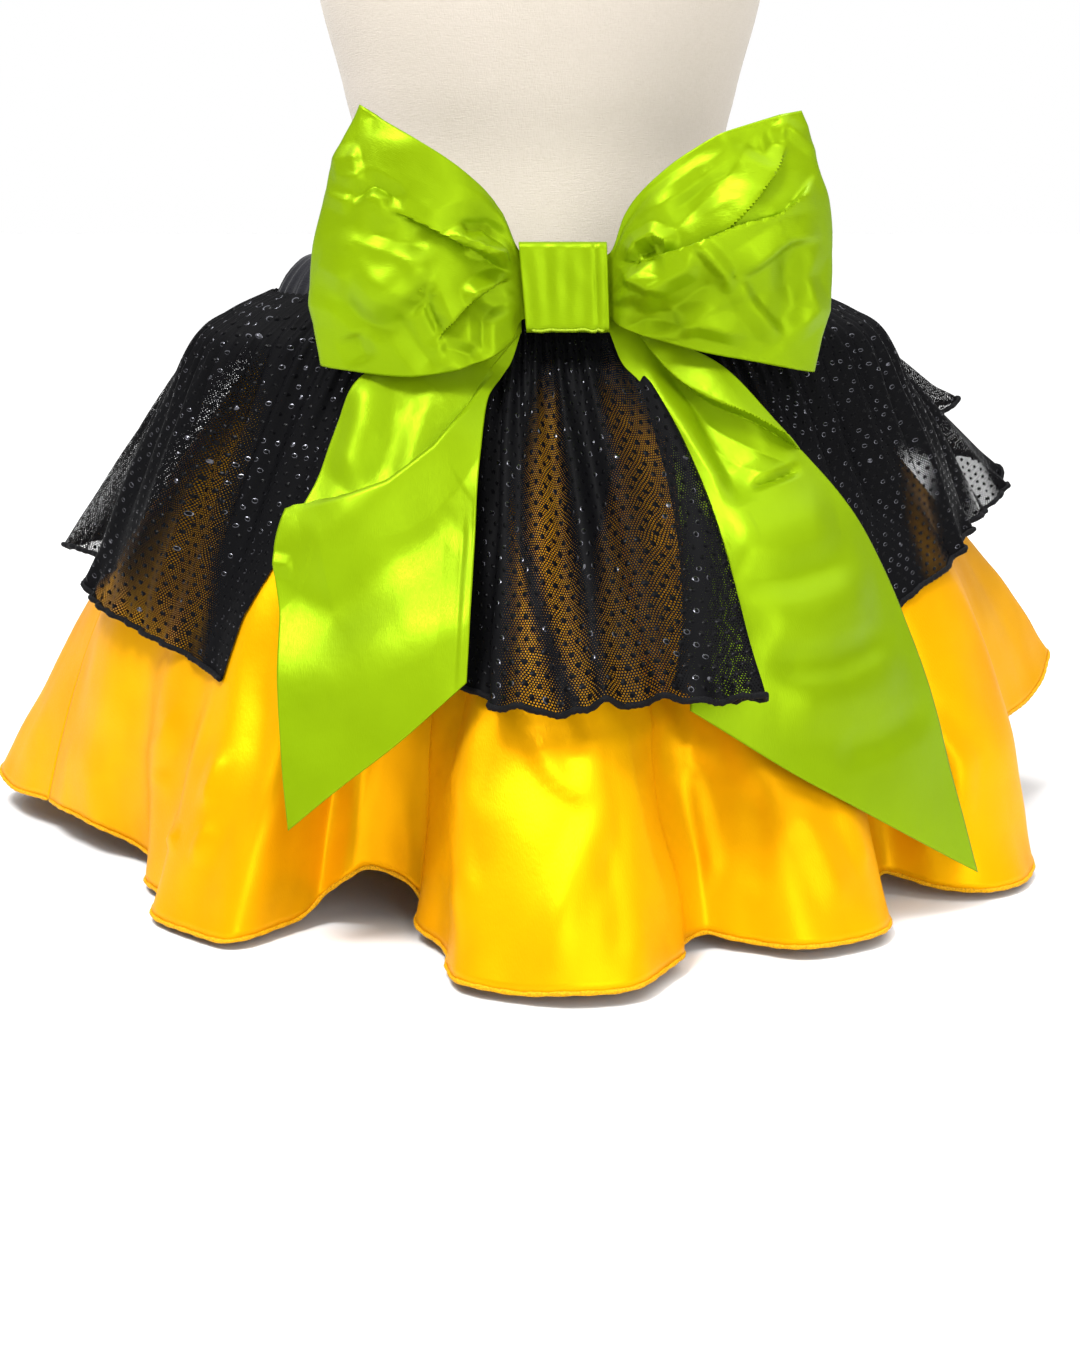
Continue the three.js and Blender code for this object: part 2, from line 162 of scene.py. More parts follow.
def cloth(name, points, flat, join_columns=False, join_rows=False):
    """A sheet from rows of points (top to bottom) and columns (left to right), with UVs in metres."""
    rows, columns = points.shape[:2]
    mesh = bpy.data.meshes.new(name)
    work = bmesh.new()
    uv = work.loops.layers.uv.new("UVMap")
    bmesh.ops.create_grid(work, x_segments=columns - 1, y_segments=rows - 1, size=0.5, calc_uvs=True)
    for face in work.faces:
        face.smooth = True
        for loop in face.loops:
            loop[uv].uv = ((loop.vert.co.x + 0.5) * flat[0], (loop.vert.co.y + 0.5) * flat[1])
    for vert in work.verts:
        column = round((vert.co.x + 0.5) * (columns - 1))
        row = round((0.5 - vert.co.y) * (rows - 1))
        vert.co = Vector(points[row, column] * MM)
    if join_columns or join_rows:
        bmesh.ops.remove_doubles(work, verts=work.verts, dist=1e-6)
    work.to_mesh(mesh)
    work.free()
    piece = in_scene(name, mesh)
    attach(piece, "root")
    print(name, len(mesh.polygons), "faces")
    return piece


def grid_normals(points):
    """Unit normals of a grid of points, on the cloth's outer side."""
    down = np.gradient(points, axis=0)
    across = np.gradient(points, axis=1)
    normal = np.cross(down, across)
    return normal / np.maximum(np.linalg.norm(normal, axis=-1, keepdims=True), 1e-9)


def arc_lengths(points):
    """How far along a line of points each one lies."""
    steps = np.linalg.norm(np.diff(points, axis=0), axis=1)
    return np.concatenate([[0], np.cumsum(steps)])


def thicken(piece, thickness):
    """Gives a sheet its real thickness, half to each side."""
    wall = piece.modifiers.new("Thickness", "SOLIDIFY")
    wall.thickness = thickness * MM
    wall.offset = 0
    wall.use_even_offset = False


# %% [markdown]
# ## Unevenness
# No fold on real cloth repeats exactly. `rumple` adds up a few waves of random direction and phase, with a
# fixed seed so that each run gives the same cloth. It is smooth, cheap, and has a chosen wavelength.


# %% Rumple
def rumple(u, v, wavelength, seed, waves=9):
    """Smooth unevenness over two coordinates, about -1 to 1."""
    chance = np.random.default_rng(seed)
    total = np.zeros(np.broadcast(u, v).shape)
    for _ in range(waves):
        turn = chance.uniform(0, 2 * math.pi)
        stretch = chance.uniform(0.7, 1.5)
        phase = chance.uniform(0, 2 * math.pi)
        along = u * math.cos(turn) + v * math.sin(turn)
        total += np.cos(2 * math.pi * along * stretch / wavelength + phase)
    return total / math.sqrt(waves)


def ease(value, low, high):
    """0 below low, 1 above high, and a soft step between."""
    share = np.clip((value - low) / (high - low), 0, 1)
    return share * share * (3 - 2 * share)


# %% [markdown]
# ## Creases placed one by one
# Satin that was folded in a packet keeps its creases. Each row of a crease table is one line across the
# cloth: how high it stands, how wide it falls away on its left and on its right, and the points that it
# runs through, seen from the front. Where both sides are wide the profile is rounded, and a narrow side
# makes it crisp. A lap is cloth that folds over itself: one side of its line is lifted and pushed over the
# other, which gives the sharp edge and the shadow that a crease can't.


# %% Creases
ROUNDED_FROM = 12


def beside(x, z, line):
    """Distance to a line, positive on its left, the line's direction there, and a taper at both ends."""
    lengths = arc_lengths(line)
    best, across, along = np.full(x.shape, 1e9), np.zeros(x.shape), np.zeros(x.shape)
    ahead = np.zeros((*x.shape, 2))
    for i in range(len(line) - 1):
        a, b = line[i], line[i + 1]
        reach = np.linalg.norm(b - a)
        direction = (b - a) / reach
        run = (x - a[0]) * direction[0] + (z - a[1]) * direction[1]
        held = np.clip(run, 0, reach)
        side = -(x - a[0]) * direction[1] + (z - a[1]) * direction[0]
        gap = np.hypot(run - held, side)
        nearer = gap < best
        best = np.where(nearer, gap, best)
        across = np.where(nearer, np.where(side < 0, -gap, gap), across)
        along = np.where(nearer, lengths[i] + held, along)
        ahead = np.where(nearer[..., None], direction, ahead)
    ends = np.minimum(along, lengths[-1] - along)
    return across, ahead, ease(ends, -0.04 * lengths[-1], 0.25 * lengths[-1])


def creases(x, z, table):
    """How far the cloth stands out at each point for the creases and dents of a table."""
    total = np.zeros(x.shape)
    for height, left, right, line in table:
        across, _, taper = beside(x, z, np.asarray(line, float))
        width = np.where(across > 0, left, right)
        rise = np.clip(1 - np.abs(across) / width, 0, 1)
        total += height * taper * (ease(rise, 0, 1) if min(left, right) > ROUNDED_FROM else rise)
    return total


def laps(points, normal, table, share=1.0):
    """Folds cloth over itself along lines: what lies left of a line is lifted and pushed over the rest."""
    x, z = points[..., 0], points[..., 2]
    moved = points.copy()
    for height, over, back, line in table:
        line = spline(np.asarray(line, float), np.linspace(0, len(line) - 1, 24))
        across, ahead, taper = beside(x, z, line)
        fall = np.where(across > 0, 1 - across / back, 1 + across / 3)
        rise = share * taper * np.clip(fall, 0, 1)
        moved += normal * (height * rise)[..., None]
        moved[..., 0] += over * rise * ahead[..., 1]
        moved[..., 2] -= over * rise * ahead[..., 0]
    return moved


def packet_creases(low, high, count, seed, tallest=1.3):
    """Rows for a crease table: short straight creases at random, as cloth keeps from its packet."""
    chance = np.random.default_rng(seed)
    rows = []
    for _ in range(count):
        middle = np.array([chance.uniform(low[0], high[0]), chance.uniform(low[1], high[1])])
        turn = chance.uniform(0, math.pi)
        reach = np.array([math.cos(turn), math.sin(turn)]) * chance.uniform(12, 34)
        height = chance.uniform(0.4, tallest) * chance.choice([-1, 1])
        left, right = chance.uniform(6, 20), chance.uniform(6, 20)
        rows.append((height, left, right, [middle - reach, middle + reach]))
    return rows


# %% [markdown]
# ## Cloth that keeps off other cloth
# Two layers of cloth lie on each other but never pass through each other. `keep_off` looks up the nearest
# point of the layer below and, where the new layer would sink in, moves it back out. It is a quick stand-in
# for the collisions of a cloth simulation, and it leaves the listed folds where they are.


# %% Layers
def layer_below(piece):
    """A quick search tree of a piece's surface."""
    mesh = piece.data
    spots = [vert.co.copy() for vert in mesh.vertices]
    faces = [tuple(face.vertices) for face in mesh.polygons]
    return BVHTree.FromPolygons(spots, faces)


def keep_off(points, below, gap):
    """Moves points that are nearer than the gap to the layer below, or under it, out of it."""
    flat = points.reshape(-1, 3).copy()
    moved = 0
    for i, spot in enumerate(flat):
        centre = Vector(spot * MM)
        hit, normal, _, distance = below.find_nearest(centre, 0.03)
        if hit is None:
            continue
        outward = Vector((hit.x, hit.y, 0)).normalized()
        if normal.dot(outward) < 0:
            normal = -normal
        clear = (centre - hit).dot(normal)
        if clear < gap * MM and distance < 0.02:
            flat[i] += np.array(normal) * (gap - clear / MM)
            moved += 1
    print("moved clear of the layer below:", moved)
    return flat.reshape(points.shape)


# %% [markdown]
# ## Rolled hems
# The edge of each sheet is rolled over and stitched. A roll is a thin tube that follows the edge, a grid
# whose rows go round the tube. The radius swells and shrinks a little with each stitch.


# %% Rolled hems
def roll(name, path, radius, stitch, sides=8):
    """A stitched tube along a path; stitch is the length of one stitch."""
    lengths = arc_lengths(path)
    tangent = np.gradient(path, axis=0)
    tangent /= np.linalg.norm(tangent, axis=1, keepdims=True)
    side = np.cross(tangent, [0, 0, 1.0])
    side /= np.maximum(np.linalg.norm(side, axis=1, keepdims=True), 1e-6)
    up = np.cross(side, tangent)
    bump = 1 + 0.16 * np.cos(2 * math.pi * lengths / stitch)
    thick = radius * bump * np.clip(np.minimum(lengths, lengths[-1] - lengths) / 0.5, 0, 1)
    turns = np.linspace(0, 2 * math.pi, sides + 1)
    ring = [path + thick[:, None] * (math.cos(t) * side + math.sin(t) * up) for t in turns]
    flat = (lengths[-1] * MM, 2 * math.pi * radius * MM)
    return cloth(name, np.array(ring), flat, join_rows=True)


def sew(panel, edge, radius, stitch, thread, node):
    """Rolls the hem of a hanging panel in its thread, and puts both in the place of a solid."""
    hem_roll = roll(panel.name + "_hem", edge, radius, stitch)
    hem_roll.data.materials.append(thread)
    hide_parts(node)


# %% [markdown]
# ## Cloth that hangs from the waist
# The skirt and the overlay are both made of lines of cloth that run from the waist to the hem. A hem table
# says where each fold of the hem is, and the lines are spaced evenly along that hem. Between waist and hem
# the cloth bows out by an amount that depends on how far down it is.


# %% Hanging cloth
def hem_lines(table, start, end, count, closed):
    """Evenly spaced points of the hem, and the angle at which each one's line leaves the waist."""
    angle, radius, height = (np.array([row[i] for row in table], float) for i in range(3))
    top = np.array([row[3] if len(row) > 3 else row[0] for row in table], float)
    turn = np.radians(angle)
    marks = np.stack([radius * np.sin(turn), -radius * np.cos(turn), height], -1)
    if closed:
        top = np.append(top, top[0] + 360)
    dense = np.linspace(start, end, 6000)
    lengths = arc_lengths(spline(marks, dense, closed))
    position = np.interp(np.linspace(0, lengths[-1], count), lengths, dense)
    return spline(marks, position, closed), np.interp(position, np.arange(len(top)), top), lengths[-1]


def hanging(hem, top, shares, off, top_z, shape):
    """Points on the lines from the waist to the hem, bowed out by a shape."""
    waist = off_form(top, off, top_z)
    share = np.asarray(shares)[:, None, None]
    points = waist[None] * (1 - share) + hem[None] * share
    outward = points * [1, 1, 0]
    outward /= np.linalg.norm(outward, axis=-1, keepdims=True)
    return points + outward * shape[..., None]


# %% [markdown]
# ## Camera, light and floor
# The object stands in plain soft studio light. A long lens from just above the knot looks a little down
# on the skirt. One soft light stands high on the left, a weaker and wider one fills the right, and a third
# lights the back. The surrounding is bright low down and overhead and dim between them, because satin shows
# what it mirrors: that contrast makes its folds readable, and the white overhead keeps the floor pale.

# %% Camera
camera_data = bpy.data.cameras.new("camera")
camera_data.lens = 64.8
camera_data.sensor_width = 36
camera = in_scene("camera", camera_data)
camera.location = (0, -1.5, 0.392)
camera.rotation_euler = (math.radians(79), 0, 0)
bpy.context.scene.camera = camera
print("camera height:", camera.location.z)


# %% Studio
def soft_light(name, place, aim, size, power):
    data = bpy.data.lights.new(name, "AREA")
    data.shape = "DISK"
    data.size = size
    data.energy = power
    lamp = in_scene(name, data)
    lamp.location = place
    lamp.rotation_euler = (Vector(aim) - Vector(place)).to_track_quat("-Z", "Y").to_euler()


soft_light("key", (-0.8, -1.2, 2.6), (0, 0, 0.25), 0.8, 78)
soft_light("fill", (1.0, -2.4, 0.9), (0, 0, 0.25), 1.6, 33)
soft_light("top", (0.3, 0.9, 2.4), (0, 0, 0.2), 1.0, 22)

world = bpy.data.worlds.new("studio")
world.use_nodes = True
sky = world.node_tree
surrounding = sky.nodes["Background"]
surrounding.inputs["Strength"].default_value = 1.0
direction = sky.nodes.new("ShaderNodeTexCoord")
height = sky.nodes.new("ShaderNodeSeparateXYZ")
walls = sky.nodes.new("ShaderNodeValToRGB")
stops = walls.color_ramp.elements
stops[0].position = 0.10
for sine, level in ((0.10, 1.0), (0.30, 0.25), (0.58, 0.25), (0.82, 2.5)):
    stop = stops[0] if sine == 0.10 else stops.new(sine)
    stop.color = (level, level, level, 1)
stops.remove(stops[-1])
sky.links.new(direction.outputs["Generated"], height.inputs[0])
sky.links.new(height.outputs["Z"], walls.inputs[0])
sky.links.new(walls.outputs["Color"], surrounding.inputs["Color"])
bpy.context.scene.world = world
bpy.context.scene.view_settings.view_transform = "Standard"

# %% [markdown]
# ## Materials from nodes
# Each finish is a small network of nodes: patterns feed the colour, the roughness and the bump of one
# shader. A few helpers keep the networks short to write. Patterns that follow the cloth read its UV map,
# which is in real metres, and patterns that only vary over the whole piece read Object coordinates.


# %% Node helpers
def finish(name, colour, roughness):
    """A new material and its shader."""
    material = bpy.data.materials.new(name)
    material.use_nodes = True
    shader = material.node_tree.nodes["Principled BSDF"]
    shader.inputs["Base Color"].default_value = (*colour, 1)
    shader.inputs["Roughness"].default_value = roughness
    return material, shader


def add(material, kind, *sources, **settings):
    """Adds a node, sets it, and plugs a socket or a value into each of its inputs in turn."""
    fresh = material.node_tree.nodes.new(kind)
    for key, value in settings.items():
        setattr(fresh, key, value)
    for socket, source in zip(fresh.inputs, sources):
        plug(material, source, socket)
    return fresh


def plug(material, source, socket):
    if isinstance(source, bpy.types.NodeSocket):
        material.node_tree.links.new(source, socket)
    elif source is not None:
        socket.default_value = source


def calc(material, operation, *sources):
    return add(material, "ShaderNodeMath", *sources, operation=operation).outputs[0]


def vector(material, operation, *sources):
    found = add(material, "ShaderNodeVectorMath", *sources, operation=operation)
    return found.outputs["Value" if operation == "LENGTH" else "Vector"]


def mix(material, amount, low, high, kind="RGBA"):
    """Blends two colours or two vectors."""
    blend = add(material, "ShaderNodeMix", amount, data_type=kind)
    first, result = {"RGBA": (6, 2), "VECTOR": (4, 1)}[kind]
    plug(material, low, blend.inputs[first])
    plug(material, high, blend.inputs[first + 1])
    return blend.outputs[result]


def blend_range(material, amount, low, high, to_low, to_high):
    return add(material, "ShaderNodeMapRange", amount, low, high, to_low, to_high).outputs[0]


def place_on(material, which, stretch=(1, 1, 1)):
    """Coordinates on the piece, stretched: UV follows the cloth and Object stays with the whole piece."""
    spot = add(material, "ShaderNodeTexCoord").outputs[which]
    return vector(material, "MULTIPLY", spot, stretch)


def noise(material, where, scale, detail=2.0, result="Fac"):
    found = add(material, "ShaderNodeTexNoise", where)
    found.inputs["Scale"].default_value = scale
    found.inputs["Detail"].default_value = detail
    return found.outputs[result]


def colours(material, amount, *stops):
    """A colour ramp: stops are (position, colour)."""
    ramp = add(material, "ShaderNodeValToRGB", amount)
    points = ramp.color_ramp.elements
    while len(points) < len(stops):
        points.new(0.5)
    for point, (position, colour) in zip(points, stops):
        point.position = position
        point.color = (*colour, 1)
    return ramp.outputs["Color"]


def bump(material, shader, height, depth, strength=1.0):
    """Adds relief of a depth in metres on top of the relief that is already there."""
    tree = material.node_tree
    relief = tree.nodes.new("ShaderNodeBump")
    relief.inputs["Strength"].default_value = strength
    relief.inputs["Distance"].default_value = depth
    tree.links.new(height, relief.inputs["Height"])
    target = shader.inputs["Normal"]
    if target.links:
        tree.links.new(target.links[0].from_socket, relief.inputs["Normal"])
    tree.links.new(relief.outputs["Normal"], target)


# %% [markdown]
# ## Satin
# Satin is woven so that long threads float on its face, which is why its highlights stretch across the
# threads and why it looks brighter towards the light than plain cloth does. The shader gets some metallic
# reflection to colour the highlights, a tinted specular layer, anisotropy to stretch the highlights, and a
# fine streaky relief along the threads. A softer relief gives the slight crumple that satin always has.


# %% Satin
def satin(name, shade, deep, metallic, rough, gloss, streaks):
    material, shader = finish(name, shade, rough)
    shader.inputs["Metallic"].default_value = metallic
    shader.inputs["Anisotropic"].default_value = 0.45
    shader.inputs["Specular IOR Level"].default_value = gloss
    shader.inputs["Specular Tint"].default_value = (*(0.2 + 0.8 * part for part in shade), 1)
    tangent = add(material, "ShaderNodeTangent", direction_type="UV_MAP")
    plug(material, tangent.outputs[0], shader.inputs["Tangent"])
    tone = noise(material, place_on(material, "Object"), 11.0, 3.0)
    tint = colours(material, tone, (0.3, deep), (0.62, shade))
    plug(material, tint, shader.inputs["Base Color"])
    threads = noise(material, place_on(material, "UV", streaks), 1.0, 2.0)
    uneven = blend_range(material, threads, 0.3, 0.7, rough - 0.05, rough + 0.05)
    plug(material, uneven, shader.inputs["Roughness"])
    bump(material, shader, threads, 0.0002, 0.45)
    bump(material, shader, noise(material, place_on(material, "Object"), 60.0, 3.0), 0.0012, 0.25)
    return material


# threads run down the skirt, and along the strips of the bow and the band
DOWN, ALONG = (2400, 260, 1), (260, 2400, 1)
yellow_satin = satin("yellow_satin", (0.74, 0.36, 0.001), (0.64, 0.28, 0.001), 0.36, 0.4, 0.08, DOWN)
lime_satin = satin("lime_satin", (0.195, 0.312, 0.002), (0.166, 0.264, 0.001), 0.34, 0.37, 0.2, ALONG)
black_satin = satin("black_satin", (0.018, 0.018, 0.022), (0.008, 0.008, 0.010), 0.2, 0.3, 0.3, ALONG)
print("satins:", yellow_satin.name, lime_satin.name, black_satin.name)

# %% [markdown]
# ## Dotted mesh
# The overlay is a knitted net with raised glitter dots. Drawing each hole as geometry would need millions of
# faces, so the holes are cut by the shader's alpha. Both the holes and the dots sit on a staggered lattice:
# two plain lattices, one moved by half a step, and each point takes the nearer of the two. Where the net
# lies folded on itself, the `fold` attribute of the cloth closes the holes a little, as a second layer does.


# %% Dotted mesh
def lattice(material, where, pitch):
    """Distance in metres to the nearest point of a staggered lattice, and a random number for that point."""
    period = (pitch, pitch * math.sqrt(3), 1)
    scaled = vector(material, "MULTIPLY", where, tuple(1 / side for side in period))
    found = []
    for shift in (0.5, 0.0):
        moved = vector(material, "ADD", scaled, (shift, shift, 0))
        cell = vector(material, "ADD", vector(material, "FLOOR", moved), (7 * shift, 7 * shift, 0))
        inside = vector(material, "SUBTRACT", vector(material, "FRACTION", moved), (0.5, 0.5, 0))
        spot = vector(material, "MULTIPLY", inside, (period[0], period[1], 0))
        found.append((vector(material, "LENGTH", spot), cell))
    (near, first), (other, second) = found
    distance = calc(material, "MINIMUM", near, other)
    number = mix(material, calc(material, "LESS_THAN", near, other), second, first, "VECTOR")
    return distance, add(material, "ShaderNodeTexWhiteNoise", number).outputs["Value"]


def dotted_mesh(name, hole_pitch, hole, dot_pitch, dot):
    """Net with round holes and dots; pitches and radii are in metres."""
    black, silver = (0.0025, 0.0025, 0.003, 1), (0.07, 0.07, 0.08, 1)
    material, shader = finish(name, black[:3], 0.5)
    where = place_on(material, "UV")
    wobble = vector(material, "SUBTRACT", noise(material, where, 60.0, 1.0, "Color"), (0.5, 0.5, 0.5))
    where = vector(material, "ADD", where, vector(material, "MULTIPLY", wobble, (0.004, 0.004, 0)))
    to_hole, _ = lattice(material, where, hole_pitch)
    to_dot, chance = lattice(material, where, dot_pitch)
    fold = add(material, "ShaderNodeAttribute", attribute_name="fold").outputs["Fac"]
    closing = calc(material, "MULTIPLY_ADD", fold, -hole, hole)
    net = calc(material, "GREATER_THAN", to_hole, closing)
    spot = calc(material, "LESS_THAN", to_dot, dot)
    plug(material, calc(material, "MAXIMUM", net, spot), shader.inputs["Alpha"])
    rim = calc(material, "GREATER_THAN", to_dot, dot * 0.72)
    caught = calc(material, "GREATER_THAN", chance, blend_range(material, fold, 0.2, 0.8, 0.93, 0.6))
    ringed = calc(material, "MULTIPLY", rim, caught)
    bright = calc(material, "GREATER_THAN", chance, 0.97)
    glint = calc(material, "MULTIPLY", spot, calc(material, "MAXIMUM", ringed, bright))
    plug(material, mix(material, glint, black, silver), shader.inputs["Base Color"])
    plug(material, glint, shader.inputs["Metallic"])
    plug(material, blend_range(material, spot, 0.0, 1.0, 0.6, 0.24), shader.inputs["Roughness"])
    shader.inputs["Specular IOR Level"].default_value = 0.04
    dome = calc(material, "SUBTRACT", dot, calc(material, "MINIMUM", to_dot, dot))
    bump(material, shader, calc(material, "DIVIDE", dome, dot), 0.0007, 0.8)
    return material


net_mesh = dotted_mesh("dotted_net", 0.0016, 0.00044, 0.0075, 0.00155)

# %% [markdown]
# ## Thread and form cloth
# The hems are overlocked with thread, so their finish is matt and knotted. The form is covered in stretched
# linen jersey: nearly plain, with a fine weave and a slightly uneven tone.


# %% Thread and linen
def overlock(name, shade, roughness):
    material, shader = finish(name, shade, roughness)
    shader.inputs["Specular IOR Level"].default_value = 0.1
    where = place_on(material, "UV")
    knots = noise(material, where, 900.0, 2.0)
    dark = tuple(part * 0.6 for part in shade)
    plug(material, colours(material, knots, (0.35, dark), (0.6, shade)), shader.inputs["Base Color"])
    bump(material, shader, knots, 0.0008, 0.8)
    return material


yellow_thread = overlock("yellow_thread", (0.72, 0.36, 0.004), 0.6)
lime_thread = overlock("lime_thread", (0.34, 0.48, 0.02), 0.6)
black_thread = overlock("black_thread", (0.004, 0.004, 0.005), 0.75)


def linen(name, shade, deep):
    material, shader = finish(name, shade, 0.85)
    shader.inputs["Sheen Weight"].default_value = 0.15
    around = place_on(material, "Object")
    tone = noise(material, around, 7.0, 4.0)
    warp = noise(material, place_on(material, "Object", (1500, 1500, 300)), 1.0, 2.0)
    weft = noise(material, place_on(material, "Object", (260, 260, 1700)), 1.0, 2.0)
    weave = calc(material, "ADD", warp, weft)
    tint = colours(material, tone, (0.3, deep), (0.7, shade))
    depth = blend_range(material, weave, 0.7, 1.3, 0, 1)
    shadow = colours(material, depth, (0, (0.93, 0.92, 0.90)), (1, (1, 1, 1)))
    both = add(material, "ShaderNodeMix", 1.0, data_type="RGBA", blend_type="MULTIPLY")
    plug(material, tint, both.inputs[6])
    plug(material, shadow, both.inputs[7])
    plug(material, both.outputs[2], shader.inputs["Base Color"])
    bump(material, shader, weave, 0.0006, 0.4)
    return material


form_linen = linen("form_linen", (0.48, 0.43, 0.375), (0.455, 0.41, 0.35))
print("finishes:", len(bpy.data.materials))

# %% [markdown]
# ## Floor
# A wide pale floor, matt, with only a trace of unevenness.

# %% Floor
floor_mesh = bpy.data.meshes.new("floor")
work = bmesh.new()
bmesh.ops.create_grid(work, x_segments=1, y_segments=1, size=30)
work.to_mesh(floor_mesh)
work.free()
floor = in_scene("floor", floor_mesh)
pale, pale_shader = finish("pale_floor", (0.80, 0.80, 0.80), 0.8)
patches = noise(pale, place_on(pale, "Object"), 3.0)
greys = colours(pale, patches, (0.3, (0.79, 0.79, 0.79)), (0.7, (0.81, 0.81, 0.81)))
plug(pale, greys, pale_shader.inputs["Base Color"])
floor_mesh.materials.append(pale)

# %% [markdown]
# ## Dress form
# A dress form is a padded torso without limbs under stretched jersey. Its outline is one profile spun round
# the middle, then pressed flat from front to back, because a waist is wider than it is deep. A full spin
# with `use_merge` closes the seam, and the two poles are merged.

# %% Dress form
work = bmesh.new()
profile = spline(FORM, np.linspace(0, len(FORM) - 1, 150))
line = [work.verts.new((width * MM, 0, z * MM)) for z, width, _ in profile]
line.insert(0, work.verts.new((0, 0, 0)))
line.append(work.verts.new((0, 0, FORM[-1][0] * MM)))
edges = [work.edges.new(pair) for pair in zip(line, line[1:])]
bmesh.ops.spin(work, geom=line + edges, axis=(0, 0, 1), cent=(0, 0, 0), steps=96, angle=2 * math.pi,
               use_merge=True)
bmesh.ops.remove_doubles(work, verts=work.verts, dist=1e-6)
for vert in work.verts:
    z = vert.co.z / MM
    vert.co.y *= float(half_depth(z) / half_width(z))
bmesh.ops.recalc_face_normals(work, faces=work.faces)
for face in work.faces:
    face.smooth = abs(face.normal.z) < 0.95
form_mesh = bpy.data.meshes.new("form_body")
work.to_mesh(form_mesh)
work.free()
form_body = in_scene("form_body", form_mesh)
form_mesh.materials.append(form_linen)
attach(form_body, "root")
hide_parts("dress_form")
print("form:", len(form_mesh.polygons), "faces")

# %% [markdown]
# ## Satin skirt
# The skirt is two wide sectors of a ring of satin, sewn at the sides and eased into the waistband. The
# fullness falls into deep rounded folds, and the hem follows them in and out. The fold table gives the hem as
# angle, distance from the middle and height off the floor. Drawing the hem and hanging lines of cloth from
# the waist to it gives exactly these folds, where a cloth simulation would give folds of its own.

# %% Skirt folds
SKIRT_HEM = [
    (-90, 312, 20), (-79, 282, 20), (-68.5, 252, 9), (-60, 267, 6), (-52, 273, 6), (-46, 297, 5),
    (-39.5, 302, 5), (-33, 305, 6), (-31.2, 273, 7), (-30.8, 256, 8), (-30.2, 241, 16), (-26, 241, 30),
    (-24, 233, 35), (-19, 224, 27), (-16.2, 229, 18), (-15.8, 243, 10), (-11.5, 271, 7), (-9.7, 287, 6),
    (-9.2, 304, 6), (-7.5, 328, 7), (-2, 347, 8), (3.3, 352, 9), (7.6, 347, 9), (10.4, 329, 9),
    (13.7, 301, 9), (14.6, 284, 9), (19.4, 265, 9), (23, 280, 7), (27.2, 304, 7), (36, 308, 8),
    (41, 295, 8), (44, 268, 10), (53.5, 246, 14), (55.3, 277, 8), (58.7, 303, 6), (69.4, 313, 6),
    (75, 300, 14), (80, 268, 32), (92, 280, 62), (99, 307, 64), (107, 350, 71), (114, 387, 90),
    (121, 350, 78), (132, 300, 45), (142, 350, 42), (150, 392, 50), (158, 350, 42), (166, 310, 35),
    (176, 362, 36), (184, 398, 45), (192, 358, 38), (200, 310, 35), (210, 360, 34), (217, 390, 40),
    (225, 346, 32), (233, 300, 30), (245, 345, 26), (255, 372, 24), (262, 350, 18),
]

# %% Skirt creases
SKIRT_CREASES = [
    # height, width on the left, width on the right, points (x, z)
    # the left flare: a ridge along its side, and dents above the hem
    (4.2, 14, 12, [(-243, 169), (-272, 110), (-281, 83)]),
    (4.2, 10, 9, [(-207, 111), (-217, 88), (-245, 58)]),
    (3.0, 7, 8, [(-245, 58), (-234, 69), (-227, 63), (-217, 67), (-211, 70)]),
    (-3.0, 12, 12, [(-230, 124), (-237, 91), (-257, 68)]),
    # the fold beside it: a long ridge with short crisp creases
    (4.6, 14, 18, [
        (-147, 200), (-157, 171), (-165, 140), (-167, 113), (-170, 94), (-177, 75), (-187, 43), (-196, 20)]),
    (3.1, 5, 9, [(-170, 94), (-179, 67)]),
    (2.9, 8, 5, [(-175, 59), (-187, 41)]),
    (2.9, 6, 6, [(-200, 49), (-208, 43)]),
    (-2.6, 12, 12, [(-150, 141), (-153, 92), (-161, 49)]),
    # the front fold
    (3.8, 15, 15, [(21, 135), (27, 115), (30, 92), (28, 79), (17, 58), (-1, 16)]),
    (2.9, 14, 8, [(-7, 125), (6, 105), (28, 90)]),
    (1.4, 6, 6, [(-1, 119), (21, 119), (72, 117)]),
    (3.8, 12, 10, [(40, 133), (46, 106), (52, 73), (61, 40), (65, 24)]),
    (-2.6, 10, 10, [(33, 76), (39, 47), (41, 19)]),
    (3.1, 10, 12, [(-29, 133), (-38, 106), (-47, 81), (-39, 51), (-48, 26)]),
    # the shallow fold to its right
    (3.1, 7, 9, [(74, 116), (77, 93), (83, 86), (87, 69), (94, 43), (87, 25)]),
    (2.6, 10, 8, [(59, 133), (74, 107), (95, 95)]),
    (3.4, 14, 12, [(129, 80), (145, 63), (158, 32), (164, 21)]),
    (2.4, 8, 8, [(157, 76), (172, 56), (179, 37)]),
    (-2.6, 14, 14, [(113, 92), (118, 60), (116, 28)]),
    # the right fold
    (3.6, 12, 9, [(211, 111), (231, 89), (240, 76), (239, 48), (244, 30)]),
    (-2.6, 9, 9, [(215, 66), (224, 38)]),
]


